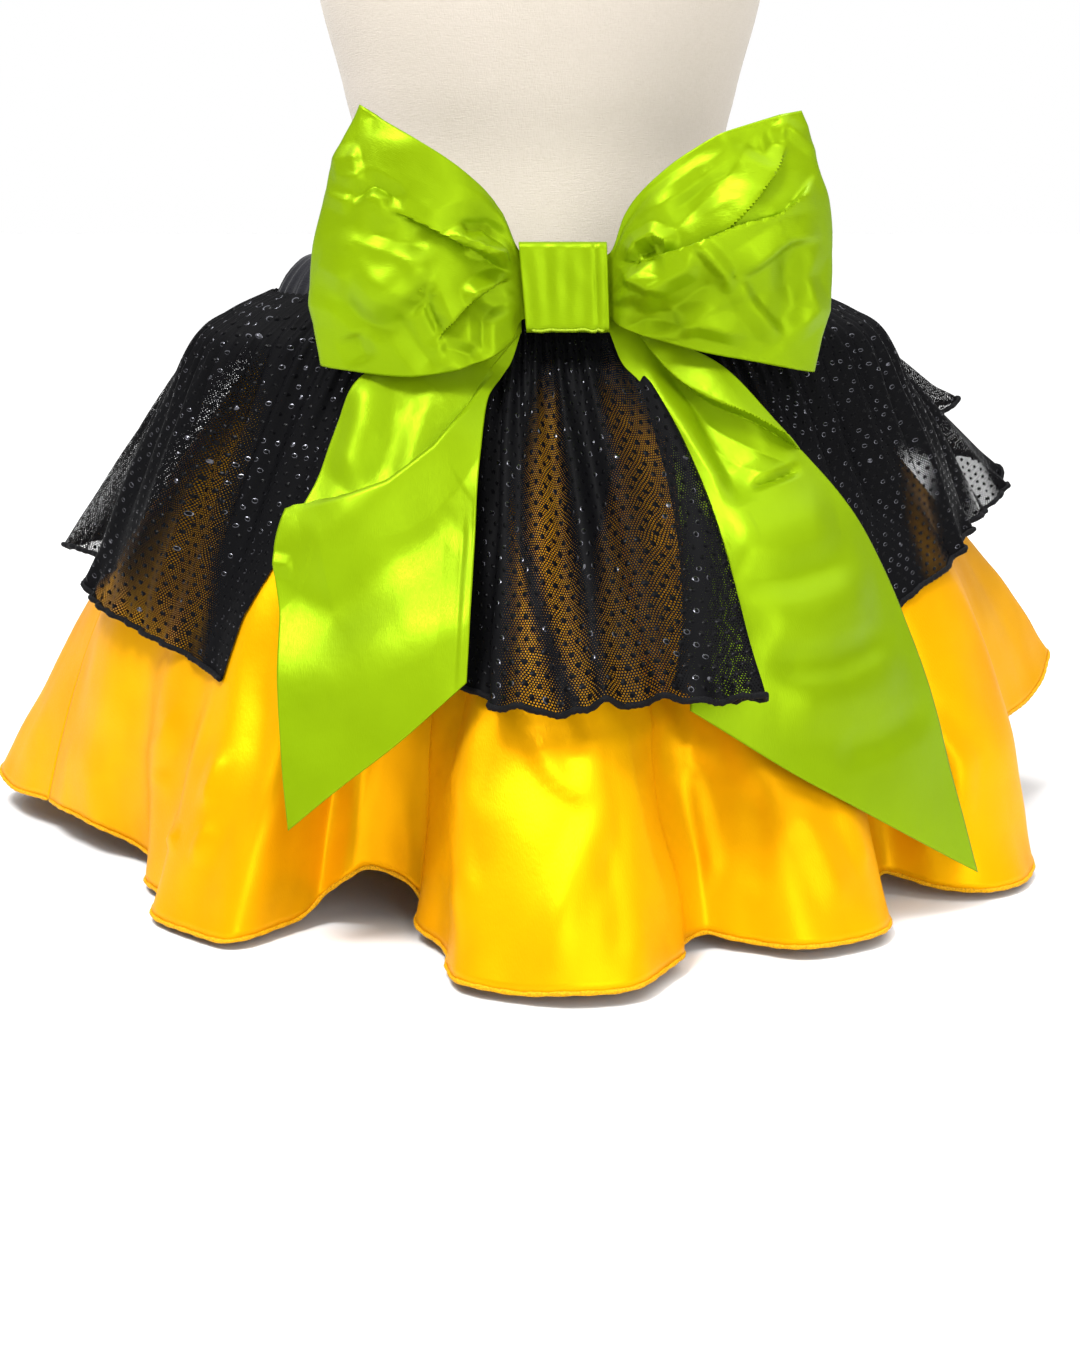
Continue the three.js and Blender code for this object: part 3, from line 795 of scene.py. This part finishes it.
# %% Skirt panels
def skirt_panel(name, start, end, node, flat):
    """One sewn panel, between two rows of the fold table."""
    hem, top, length = hem_lines(SKIRT_HEM, start, end, SKIRT_COLUMNS, True)
    shares = np.linspace(0, 1, SKIRT_ROWS)
    share = shares[:, None]
    run = np.linspace(0, length, SKIRT_COLUMNS)[None]
    wrapped = np.where(top > 180, top - 360, top)[None]
    side_swell = SIDE_SWELL * np.exp(-(((np.abs(wrapped) - SIDE_ANGLE) / 22) ** 2))
    swell = (SKIRT_SWELL + side_swell) * np.sin(math.pi * share)
    points = hanging(hem, top, shares, SKIRT_OFF_FORM, SKIRT_TOP, swell)
    turn = np.radians(top)[None]
    fall = share * 290
    edge = np.clip(np.minimum(run, length - run) / 30, 0, 1)
    soft = 2.6 * share ** 1.4 * rumple(turn * 250, fall, 120, 11)
    crumple = 0.5 * ease(share, 0, 0.3) * rumple(turn * 250, fall, 55, 12, 12)
    flutter = 1.1 * ease(share, 0.8, 1) * rumple(run, fall * 0.2, 46, 13)
    eased = 1.2 * np.cos(top * 1.9)[None] * (1 - ease(share, 0, 0.25))
    pressed = creases(points[..., 0], points[..., 2], SKIRT_CREASES) * ease(-points[..., 1], 90, 150)
    girth = turn * 260 + 0 * share
    marks = packet_creases((girth.min(), 20), (girth.max(), 250), 40, start + 60, 1.0)
    stretched = [(*sizes, [(x, 20 + 2.2 * (z - 20)) for x, z in line]) for *sizes, line in marks]
    kept = creases(girth, points[..., 2], stretched) * ease(share, 0.1, 0.35)
    out = (soft + crumple + flutter + eased + pressed + kept) * edge
    points = points + grid_normals(points) * out[..., None]
    panel = cloth(name, points, flat)
    thicken(panel, SATIN_THICK)
    panel.data.materials.append(yellow_satin)
    edge_line = points[-1] + [0, 0, -0.4]
    sew(panel, edge_line, 1.25, 2.6, yellow_thread, node)
    print(name, "hem", round(length), "mm")
    return panel


side_row = [row[0] for row in SKIRT_HEM].index(92)
skirt_front = skirt_panel("satin_front", 0, side_row, "skirt_front", (0.664, 0.664))
skirt_back = skirt_panel("satin_back", side_row, len(SKIRT_HEM), "skirt_back", (0.664, 0.664))
satin_layer = [layer_below(skirt_front), layer_below(skirt_back)]

# %% [markdown]
# ## Mesh overlay
# The overlay is gathered: it is cut more than twice as long as the waist it is sewn to. Gathers start as
# many small ripples and join into fewer and larger folds on the way down, so three families of ripples
# take over from each other. Each family's angles wander, because gathers are pushed along by hand. The rows
# of its fold table end with the angle at which that line of cloth leaves the waist. The tables of clear
# strips say where the net lies single, so that the satin shows through it.

# %% Overlay folds
MESH_HEM = [
    (-34, 236, 207, -33), (-24, 237, 178, -24), (-16, 235, 152, -17), (-9.5, 250, 142, -12),
    (-6.2, 262, 140, -9.5), (-5.2, 284, 139, -7), (2, 291, 137, 0), (9, 291, 142, 7),
    (16, 298, 143, 13), (22, 302, 143, 17), (19.5, 288, 143, 18.5), (15.8, 268, 144, 20),
    (16.4, 254, 144, 21.5), (21, 250, 145, 24), (33, 250, 145, 34), (45, 262, 150, 45),
    (57.7, 243, 167, 57.7), (72, 254, 184, 72), (81, 261, 194, 81), (92, 264, 192, 92),
    (102, 291, 195, 102), (109, 322, 204, 109), (115, 346, 210, 115), (122, 310, 235, 121),
    (128, 370, 252, 127), (137, 318, 222, 137), (147, 282, 195, 147), (160, 290, 190, 160),
    (170, 322, 190, 170), (180, 335, 190, 180), (190, 318, 184, 190), (200, 280, 176, 200),
    (209, 300, 180, 209), (218, 325, 186, 218), (227, 300, 176, 227), (236, 275, 166, 236),
    (245, 300, 168, 245), (253, 330, 172, 253), (262, 296, 174, 262), (270, 268, 172, 270),
    (278, 276, 160, 278), (291, 256, 147, 291), (303, 243, 139, 308), (315, 250, 132, 325),
]
MESH_PUFF = [
    (0, 0), (0.08, 19), (0.17, 28), (0.4, 21), (0.68, 13), (1, 0),
]


FRONT_CLEAR = (0.33, 0.63), [
    # strips of (share of the way down, left edge, right edge), inside the span across that comes first
    [(0.14, 0.415, 0.43), (0.25, 0.39, 0.44), (0.4, 0.368, 0.438), (0.6, 0.372, 0.441),
     (0.8, 0.402, 0.446), (1, 0.433, 0.452)],
    [(0.42, 0.346, 0.347), (0.6, 0.348, 0.36), (0.8, 0.35, 0.386), (1, 0.352, 0.418)],
    [(0.12, 0.55, 0.57), (0.28, 0.52, 0.602), (0.45, 0.52, 0.605), (0.62, 0.478, 0.584),
     (0.81, 0.46, 0.559), (1, 0.456, 0.545)],
    [(0.3, 0.63, 0.65), (0.6, 0.6, 0.64), (0.85, 0.575, 0.625), (1, 0.567, 0.62)],
]
LEFT_CLEAR = (0.6, 1), [
    [(0.11, 0.885, 0.9), (0.31, 0.866, 0.915), (0.48, 0.846, 0.918), (0.74, 0.83, 0.93), (0.9, 0.805, 0.948),
     (1, 0.785, 0.958)],
    [(0.2, 0.6, 0.64), (0.5, 0.58, 0.7), (0.8, 0.56, 0.69), (1, 0.56, 0.74)],
]
RIGHT_CLEAR = (0, 0.45), [
    [(0.52, 0.13, 0.15), (0.65, 0.125, 0.168), (0.8, 0.111, 0.154), (1, 0.1, 0.145)],
    [(0.6, 0.36, 0.4), (0.85, 0.317, 0.384), (1, 0.3, 0.363)],
]


# %% Overlay panels
def ripples(top, drift, count, seed):
    """A row of uneven folds round the waist that wander sideways on the way down."""
    turn = top + drift + 360 / count * 0.5 * rumple(top, drift * 0, 40, seed)
    return np.cos(np.radians(turn * count))


def folded_net(across, share, top, clear):
    """Where the net lies double, from 0 to 1: by the waist and in upright bands, not in clear strips."""
    single = ease(rumple(top + 0 * share, share * 14, 34, 26), -0.1, 0.5) * ease(share, 0.12, 0.4)
    (first, last), strips = clear
    single = np.where((across > first) & (across < last), 0, single)
    for strip_rows in strips:
        down, left, right = np.array(strip_rows).T
        left, right = np.interp(share, down, left), np.interp(share, down, right)
        soft = 0.3 * np.clip(right - left, 0.01, 0.05)
        inside = ease(across, left - soft, left + soft) * (1 - ease(across, right - soft, right + soft))
        single = np.maximum(single, inside * ease(share, down[0] - 0.02, down[0] + 0.12))
    return np.clip(1 - single, 0, 1)


def mesh_panel(name, start, end, columns, node, flat, clear):
    """One gathered panel, between two rows of the fold table."""
    hem, top, length = hem_lines(MESH_HEM, start, end, columns, False)
    shares = np.linspace(0, 1, MESH_ROWS)
    share = shares[:, None]
    run = np.linspace(0, length, columns)[None]
    signed = np.where(top > 180, top - 360, top)
    from_front = np.abs(signed)
    strength = np.clip(-0.3 + 1.3 * (from_front - 25) / 45, -0.3, 1)
    lifted = 0.5 * np.exp(-(((top - LIFTED_FOLD) / 14) ** 2))
    puff = spline(MESH_PUFF, np.linspace(0, len(MESH_PUFF) - 1, 300))
    puff_now = np.interp(shares, puff[:, 0], puff[:, 1])[:, None]
    points = hanging(hem, top, shares, MESH_OFF_FORM, MESH_TOP, puff_now * (strength + lifted)[None])
    sideways = 13 * ease(signed, 9, 16) * (1 - ease(signed, 24, 42))
    points[..., 0] += sideways[None] * np.sin(math.pi * share)
    drift = 0.7 * rumple(top[None], share * 100, 90, 21)
    small = 1.5 * (1 - ease(share, 0.12, 0.42)) * ripples(top[None], drift * share, 132, 22)
    middle = 2.4 * ease(share, 0.05, 0.3) * (1 - ease(share, 0.5, 0.9)) * ripples(top[None], drift, 62, 23)
    large = 2.6 * ease(share, 0.2, 0.6) * ripples(top[None], drift, 29, 24)
    flutter = 2.6 * ease(share, 0.84, 1) * rumple(run, share * 10, 19, 25, 12)
    edge = np.clip(np.minimum(run, length - run) / 12, 0, 1)
    out = (small + middle + large + flutter + 1.2) * edge
    points = points + grid_normals(points) * out[..., None]
    for layer in satin_layer:
        points = keep_off(points, layer, MESH_OFF_SATIN)
    panel = cloth(name, points, flat)
    # create_grid lays its vertices from the bottom row up
    double = folded_net(np.linspace(0, 1, columns)[None], share, top[None], clear)[::-1]
    fold = panel.data.attributes.new("fold", "FLOAT", "POINT")
    fold.data.foreach_set("value", double.reshape(-1).astype(np.float32))
    panel.data.materials.append(net_mesh)
    sew(panel, points[-1], 1.7, 3.4, black_thread, node)
    print(name, "hem", round(length), "mm")
    return panel


start, right_seam, back_seam, left_end = (
    [row[0] for row in MESH_HEM].index(angle) for angle in (-34, 45, 180, 315))
mesh_panel("net_front", start, right_seam, 300, "mesh_front", (0.5, 0.25), FRONT_CLEAR)
mesh_panel("net_right", right_seam, back_seam, 420, "mesh_right", (0.8, 0.25), RIGHT_CLEAR)
mesh_panel("net_left", back_seam, left_end, 420, "mesh_left", (0.76, 0.25), LEFT_CLEAR)

# %% [markdown]
# ## Waistband
# The waistband is a tube of black satin over wide elastic. The elastic pulls the tube into tight, uneven
# upright pleats. The piece is a ring whose section is a soft rounded strip, closed on itself both ways. The
# pleats press the outside only, and die out where the tube lies on the form.

# %% Waistband
BAND_SECTION = [
    # off the form, z
    (1.2, 340), (1.2, 320.5), (3, 318.6), (7.5, 318.6), (11, 322), (12, 330), (12, 342), (11, 352),
    (7.5, 359.5), (3.5, 361.6), (1.6, 359),
]
around = np.linspace(0, 360, BAND_COLUMNS)
section = spline(BAND_SECTION, np.linspace(0, len(BAND_SECTION), BAND_ROWS), True)
points = np.array([off_form(around, off, np.full(BAND_COLUMNS, z)) for off, z in section])
outside = np.clip((section[:, 0] - 4) / 8, 0, 1)[:, None]
wander = around[None] + 1.5 * rumple(around[None], section[:, 1:2] * 1.2, 50, 31)
pleat = np.abs(np.cos(np.radians(wander * 29))) ** 0.7 + 0.5 * np.cos(np.radians(wander * 71))
pleat = (pleat - 0.6) * 1.6 * (1 + 0.4 * rumple(around[None], section[:, 1:2], 70, 32))
pleat = pleat * np.ones(points.shape[:2])
pleat[:, -1] = pleat[:, 0]
lean = points * [1, 1, 0]
lean /= np.linalg.norm(lean, axis=-1, keepdims=True)
points = points + lean * (np.clip(pleat, -1.4, 1.2) * outside)[..., None]
points[:, -1] = points[:, 0]
points[-1] = points[0]
ruched_band = cloth("ruched_band", points, (1.1, 0.092), join_columns=True, join_rows=True)
ruched_band.data.materials.append(black_satin)
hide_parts("waistband")

# %% [markdown]
# ## Bow loops
# Each loop is a stiff satin strip that leaves the knot, folds over at its far end and comes back behind
# itself. Rows of the table are stations along the strip: its top edge, its bottom edge, and how far its
# middle stands out. The listed creases and laps press the front leaf only, the packet's creases both
# leaves, and fine gathers fan out of the knot. Creases pressed into a smooth strip leave its edges straight.

# %% Loop tables
LOOP_LEFT = [
    (-3, 144, 362, -3, 146, 331, 0, 0), (-10.5, 145, 365, -10.5, 147, 328, 0, 1),
    (-21, 151, 388, -16, 155, 317, 0, 3), (-42, 159, 409, -36, 166, 305, 0, 7),
    (-66, 159, 425, -66, 167, 299, 0, 9), (-88, 151, 438, -104, 158, 301, -3, 9),
    (-97, 143, 444, -122, 146, 304, -14, 1), (-88, 134, 438, -110, 139, 308, -5, -4),
    (-62, 128, 420, -70, 135, 316, 0, -2), (-25, 126, 388, -28, 132, 330, 0, -1),
    (-10.5, 126, 364, -10.5, 129.3, 336, 0, 0), (-3, 126, 361, -3, 129.3, 338, 0, 0),
]
LOOP_RIGHT = [
    (31, 144, 362, 31, 146, 333, 0, 0), (38.5, 145, 365, 38.5, 147, 330, 0, 1),
    (48, 151, 387, 47, 155, 324, 0, 3), (65, 157, 407, 68, 163, 317, 0, 8),
    (90, 160, 425, 98, 165, 310, 0, 10), (120, 153, 436, 130, 157, 304, 3, 10),
    (142, 142, 441, 152, 142, 300, 14, 1), (122, 132, 434, 132, 134, 308, 5, -4),
    (92, 128, 418, 96, 133, 318, 0, -2), (53, 126, 386, 55, 132, 331, 0, -1),
    (38.5, 126, 364, 38.5, 129.3, 336, 0, 0), (31, 126, 361, 31, 129.3, 338, 0, 0),
]

# %% Creases of the left loop
LOOP_LEFT_LAPS = [
    # height, overlap, width behind, points (x, z)
    (9, 5, 36, [(-14, 352), (-48, 370), (-83, 387)]),
    (8, 5, 24, [(-12, 352), (-22, 345), (-39, 332), (-56, 314)]),
]
LOOP_LEFT_CREASES = [
    # height, width on the left, width on the right, points (x, z)
    # the dark wedges on both sides of the laps by the knot
    (-5.8, 6, 4, [(-47, 376), (-29, 366), (-13, 357)]),
    (-6.5, 7, 7, [(-42, 339), (-27, 346), (-14, 351)]),
    # the hook of a pinch near the top
    (4.6, 8, 4, [(-102, 392), (-90, 401), (-80, 396), (-82, 388)]),
    # a pucker by the knot
    (5.2, 7, 4, [(-41, 372), (-37, 378), (-29, 378), (-22, 373), (-18, 367)]),
    # the dent inside the pucker
    (-4.6, 6, 6, [(-40, 367), (-30, 364), (-18, 366)]),
    # a shallow ridge over the pucker
    (3.2, 11, 5, [(-59, 374), (-42, 382), (-26, 382), (-15, 372)]),
    # crumpled zigzags in the lower half
    (4.3, 8, 4, [(-73, 331), (-62, 341), (-55, 325), (-49, 320)]),
    (3.8, 5, 9, [(-64, 341), (-60, 329), (-53, 315)]),
    # folds of the lower flap
    (4.1, 6, 8, [(-55, 314), (-31, 308)]),
    (3.5, 7, 4, [(-31, 308), (-28, 327), (-13, 339)]),
    # dents along the folded edge
    (-3.2, 8, 8, [(-114, 414), (-96, 416)]),
    (-2.9, 9, 9, [(-113, 407), (-94, 404)]),
    (-2.9, 7, 7, [(-118, 398), (-101, 390)]),
    # broad soft valleys
    (-4.6, 18, 23, [(-107, 380), (-101, 360), (-83, 344), (-71, 335)]),
    (-2.9, 11, 14, [(-124, 360), (-101, 350)]),
    (3.2, 9, 13, [(-102, 323), (-95, 306)]),
    (3.5, 11, 11, [(-78, 334), (-67, 316), (-55, 301)]),
    (2.9, 14, 8, [(-113, 345), (-97, 329), (-78, 322)]),
    (-3.2, 13, 13, [(-90, 376), (-74, 360), (-59, 350)]),
    (2.9, 11, 7, [(-99, 380), (-78, 369), (-62, 365)]),
]

# %% Creases of the right loop
LOOP_RIGHT_LAPS = [
    # height, overlap, width behind, points (x, z)
    (9, 5, 34, [(152, 408), (138, 390), (128, 381), (107, 375), (84, 365), (66, 359), (53, 357), (36, 360)]),
    (6, 4, 16, [(88, 372), (107, 389), (133, 423)]),
]
LOOP_RIGHT_CREASES = [
    # height, width on the left, width on the right, points (x, z)
    # the pocket by the knot
    (5.5, 7, 4, [(46, 360), (54, 370), (62, 375), (68, 372), (69, 364)]),
    # the shadow under the lap by the knot
    (-5.1, 4, 8, [(39, 359), (54, 356), (71, 358)]),
    # the dent in the pocket
    (-4.3, 6, 6, [(54, 364), (62, 368)]),
    # facets under the lap
    (4.3, 7, 4, [(84, 367), (92, 360), (101, 350), (95, 348)]),
    (3.8, 6, 11, [(84, 366), (81, 353), (62, 344), (57, 332)]),
    # a valley below the facets
    (-4.6, 11, 11, [(57, 332), (71, 333), (86, 344), (100, 350)]),
    # creases of the lower corner
    (4.6, 11, 4, [(106, 351), (135, 370), (153, 374)]),
    (-4.1, 13, 13, [(134, 369), (136, 345), (133, 318)]),
    (4.1, 5, 10, [(106, 351), (116, 336), (132, 319)]),
    (4.1, 9, 9, [(152, 372), (144, 353), (151, 334), (134, 319)]),
    # crumples at the top corner
    (3.5, 7, 4, [(128, 423), (132, 433), (141, 426), (154, 416)]),
    (-3.2, 7, 7, [(112, 424), (120, 418), (130, 428)]),
    (-3.5, 11, 11, [(69, 386), (89, 401), (109, 411)]),
    (3.2, 11, 11, [(54, 382), (75, 396), (100, 415)]),
    # gathers that fan out of the knot
    (3.2, 6, 4, [(39, 360), (54, 348), (73, 341)]),
    (3.5, 5, 7, [(40, 333), (48, 344), (65, 357)]),
    (-3.2, 7, 7, [(43, 322), (57, 329), (81, 325)]),
    (2.9, 11, 7, [(59, 323), (86, 327), (114, 320)]),
]


# %% Bow loops
def strip(stations, along, across):
    """A smooth strip through stations of points, each given as x, forward and z."""
    stations = np.asarray(stations, float) * [1, -1, 1]
    ribs = np.array([spline(points, np.linspace(0, len(points) - 1, across)) for points in stations])
    where = np.linspace(0, len(stations) - 1, along)
    return np.stack([spline(ribs[:, column], where) for column in range(across)], 0)


def loop_stations(table):
    """Four points across the strip for each row of a loop's table."""
    found = []
    for top_x, top_y, top_z, low_x, low_y, low_z, puff_x, puff_y in table:
        top, low = np.array([top_x, top_y, top_z]), np.array([low_x, low_y, low_z])
        puff = np.array([puff_x, puff_y, 0])
        found.append([top + (low - top) * s + puff * math.sin(math.pi * s) for s in (0, 0.33, 0.67, 1)])
    return found


def bow_sheet(name, points, flat, node):
    """Stiff lime satin with sharp folds, in the place of one of the bow's solids."""
    piece = cloth(name, points, flat)
    piece.data.set_sharp_from_angle(angle=SHARP_FOLD)
    thicken(piece, BOW_THICK)
    piece.data.materials.append(lime_satin)
    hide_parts(node)


def bow_loop(name, table, lap, marks, node, seed):
    """A folded strip; along counts the table's rows, and the front leaf ends between rows 5 and 6."""
    points = strip(loop_stations(table), LOOP_COLUMNS, LOOP_ROWS)
    normal = grid_normals(points)
    along = np.linspace(0, len(table) - 1, LOOP_COLUMNS)[None]
    across = np.linspace(0, 1, LOOP_ROWS)[:, None]
    front = 1 - ease(along, 5.2, 6.4)
    low, high = points[..., [0, 2]].min((0, 1)), points[..., [0, 2]].max((0, 1))
    random_marks = packet_creases(low, high, 24, seed, 2.0)
    pressed = creases(points[..., 0], points[..., 2], marks)
    both_leaves = creases(points[..., 0], points[..., 2], random_marks)
    pressed = pressed * front + both_leaves
    reach = np.abs(points[..., 0] - KNOT_X)
    fan = 1.1 * np.cos(across * 25 + 2 * np.sin(across * 9)) * (1 - ease(reach, 26, 62))
    start = ease(reach, 22, 40)
    slack = 0.6 * rumple(points[..., 0], points[..., 2], 60, 41)
    out = (pressed + fan + slack) * start
    points = laps(points, normal, lap, front * start) + normal * out[..., None]
    bow_sheet(name, points, (0.27, 0.145), node)


# %% [markdown]
# ## Bow tails
# The two tails are one long strip, cut to a slant at both ends, that hangs from the knot over the skirt.
# Each is a smooth strip again: a row of its table is four points from the outer edge to the inner edge. The
# upper part of each tail is turned over on itself along a lap, and a few creases are pressed around that.

# %% Tail tables
TAIL_LEFT = [
    (-10.4, 134, 331, -10.4, 135, 328, -10.4, 136, 325, -10.4, 137, 322),
    (-36, 137, 324, -30, 139, 318, -23, 141, 311, -16, 142, 305),
    (-60, 141, 319, -46, 144, 311, -33, 146, 304, -20, 146, 299),
    (-97, 156, 301, -74, 163, 298, -50, 164, 294, -28, 163, 288),
    (-124, 184, 254, -95, 192, 258, -62, 194, 259, -32, 192, 260),
    (-143, 212, 213, -106, 218, 219, -68, 222, 224, -35, 222, 227),
    (-141, 232, 175, -107, 238, 184, -70, 243, 191, -36, 243, 196),
    (-137, 250, 122, -107, 254, 141, -71, 258, 157, -37, 257, 172),
    (-132, 266, 69, -102, 268, 94, -70, 270, 120, -38, 266, 148),
]
TAIL_RIGHT = [
    (38.4, 134, 331, 38.4, 135, 328, 38.4, 136, 325, 38.4, 137, 322),
    (58, 138, 323, 54, 140, 317, 50, 142, 310, 46, 143, 304),
    (78, 142, 316, 68, 145, 309, 60, 147, 302, 54, 148, 296),
    (104, 153, 303, 91, 158, 297, 79, 162, 289, 68, 161, 280),
    (132, 163, 271, 112, 174, 268, 92, 181, 261, 73, 178, 252),
    (162, 171, 237, 134, 190, 237, 104, 202, 231, 76, 198, 222),
    (193, 174, 188, 156, 203, 194, 116, 222, 194, 79, 219, 190),
    (222, 177, 107, 178, 212, 128, 128, 235, 149, 80, 238, 162),
    (246, 178, 22, 192, 216, 58, 136, 242, 93, 79, 250, 130),
]

# %% Creases of the left tail
TAIL_LEFT_LAP = [
    # height, overlap, width behind, points (x, z)
    (10, 4, 60, [(-164, 226), (-129, 236), (-104, 242), (-83, 249), (-59, 266), (-43, 284), (-29, 300)]),
]
TAIL_LEFT_CREASES = [
    # height, width on the left, width on the right, points (x, z)
    # the hollow under the flap
    (-5.0, 4, 20, [(-130, 229), (-104, 235), (-81, 243), (-57, 260), (-41, 278), (-31, 289)]),
    # a crease and a valley inside the flap
    (3.0, 22, 13, [(-90, 246), (-83, 269), (-69, 303)]),
    (-4.2, 17, 18, [(-96, 303), (-99, 277), (-112, 250)]),
    (1.6, 13, 13, [(-109, 293), (-118, 266), (-133, 241)]),
    # the round top of the lower panel catches the light
    (11.0, 34, 50, [
        (-163, 211), (-151, 204), (-134, 190), (-113, 183), (-93, 196), (-75, 211), (-53, 226),
        (-35, 238), (-21, 252)]),
    (-2.4, 6, 6, [(-149, 205), (-133, 204)]),
    # two soft steps of a pleat along the inner edge
    (1.4, 3, 10, [(-41, 239), (-43, 186), (-45, 136)]),
    (1.4, 3, 8, [(-36, 246), (-36, 192), (-36, 142)]),
    (-1.8, 26, 26, [(-127, 134), (-95, 166), (-53, 187)]),
]

# %% Creases of the right tail
TAIL_RIGHT_LAP = [
    # height, overlap, width behind, points (x, z)
    (14, 9, 34, [(45, 337), (61, 320), (79, 303), (95, 291), (115, 279), (136, 267), (159, 252), (170, 246)]),
]
TAIL_RIGHT_CREASES = [
    # height, width on the left, width on the right, points (x, z)
    # the hollow under the folded strip
    (-11.0, 24, 13, [(59, 321), (71, 302), (87, 279), (104, 253), (111, 232)]),
    (-4.0, 12, 10, [(81, 287), (96, 277), (114, 265), (138, 251)]),
    # a pinch where the strip turns
    (-4.2, 4, 4, [(115, 243), (128, 246), (143, 250)]),
    # soft waves across the lower panel
    (3.0, 24, 26, [(98, 216), (129, 220), (161, 225)]),
    (-2.6, 16, 16, [(101, 197), (135, 196), (172, 203)]),
    (3.4, 22, 22, [(110, 175), (144, 175), (186, 184)]),
    (-3.0, 14, 14, [(119, 152), (158, 151), (196, 161)]),
    (3.0, 18, 22, [(126, 128), (164, 130), (203, 142)]),
    (-2.4, 14, 14, [(157, 101), (187, 106), (216, 117)]),
]


# %% Bow tails
def bow_tail(name, table, lap, marks, node, seed):
    """A hanging strip; nothing is pressed into it where it enters the knot."""
    stations = [[row[i:i + 3] for i in (0, 3, 6, 9)] for row in table]
    points = strip(stations, TAIL_COLUMNS, TAIL_ROWS)
    normal = grid_normals(points)
    low, high = points[..., [0, 2]].min((0, 1)), points[..., [0, 2]].max((0, 1))
    marks = marks + packet_creases(low, high, 5, seed, 0.6)
    pressed = creases(points[..., 0], points[..., 2], marks)
    down = arc_lengths(points[TAIL_ROWS // 2])[None]
    start = ease(down, 18, 60)
    slack = 0.9 * rumple(points[..., 0], points[..., 2], 80, 51)
    out = (pressed + slack) * start
    points = laps(points, normal, lap) + normal * out[..., None]
    bow_sheet(name, points, (0.38, 0.12), node)


# %% [markdown]
# ## Knot
# The knot is a short strip that wraps the pinched middle of the bow. It is pulled flat in front, with soft
# edges and a fold near one side, and its lower edge shows the stitching. Its section is a closed outline of
# four corners, walked in even steps and averaged with its neighbours to round the corners.

# %% Knot
corner_marks = np.array([(118.8, 367), (129.8, 323), (153, 322), (150, 371), (118.8, 367)], float)
edge_lengths = arc_lengths(corner_marks)
walk = np.linspace(0, edge_lengths[-1], KNOT_ROWS)[:-1]
ring = np.stack([np.interp(walk, edge_lengths, corner_marks[:, i]) for i in (0, 1)], -1)
ring = sum(np.roll(ring, shift, axis=0) for shift in range(-5, 6)) / 11
ring = np.vstack([ring, ring[:1]])
knot_columns = np.linspace(KNOT_X - 23.5, KNOT_X + 23.5, KNOT_COLUMNS)
points = np.empty((KNOT_ROWS, KNOT_COLUMNS, 3))
slant = (345 - ring[:, 1:2]) / 45
points[..., 0] = knot_columns[None] + slant * np.linspace(4, 1.5, KNOT_COLUMNS)[None]
points[..., 1] = -ring[:, 0:1]
points[..., 2] = ring[:, 1:2]
middle_of_ring = ring.mean(0)
away = np.stack([0 * ring[:, 0], middle_of_ring[0] - ring[:, 0], ring[:, 1] - middle_of_ring[1]], -1)
away /= np.linalg.norm(away, axis=1, keepdims=True)
in_front = ease(ring[:, 0:1], 146, 151)
lines = 0.35 * in_front * rumple(knot_columns[None], ring[:, 1:2] * 0.25, 14, 61)
fold_line = -0.9 * np.exp(-((knot_columns - 31) / 1.1) ** 2)
fold_line = fold_line + 0.6 * np.exp(-((knot_columns - 33.5) / 1.6) ** 2)
pull = 0.3 * rumple(knot_columns[None] + 0.8 * ring[:, 1:2], ring[:, 1:2] * 0.3, 26, 62)
lines = lines + in_front * (fold_line[None] + pull)
lines[-1] = lines[0]
points = points + away[:, None] * lines[..., None]
knot_strip = cloth("bow_knot_strip", points, (0.047, 0.15), join_rows=True)
thicken(knot_strip, KNOT_THICK)
knot_strip.data.materials.append(lime_satin)
lowest = points[int(np.argmax(ring[:, 0] - ring[:, 1])), 3:-3] + [0, -0.5, -0.4]
knot_stitches = roll("knot_stitches", lowest, 0.75, 2.0)
knot_stitches.data.materials.append(lime_thread)
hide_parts("bow_knot")

# %% [markdown]
# ## The whole bow
# The loops and tails rest on the knot, so they are made after it.

# %% The whole bow
bow_loop("loop_left", LOOP_LEFT, LOOP_LEFT_LAPS, LOOP_LEFT_CREASES, "bow_loop_left", 41)
bow_loop("loop_right", LOOP_RIGHT, LOOP_RIGHT_LAPS, LOOP_RIGHT_CREASES, "bow_loop_right", 44)
bow_tail("tail_left", TAIL_LEFT, TAIL_LEFT_LAP, TAIL_LEFT_CREASES, "bow_tail_left", 59)
bow_tail("tail_right", TAIL_RIGHT, TAIL_RIGHT_LAP, TAIL_RIGHT_CREASES, "bow_tail_right", 59)
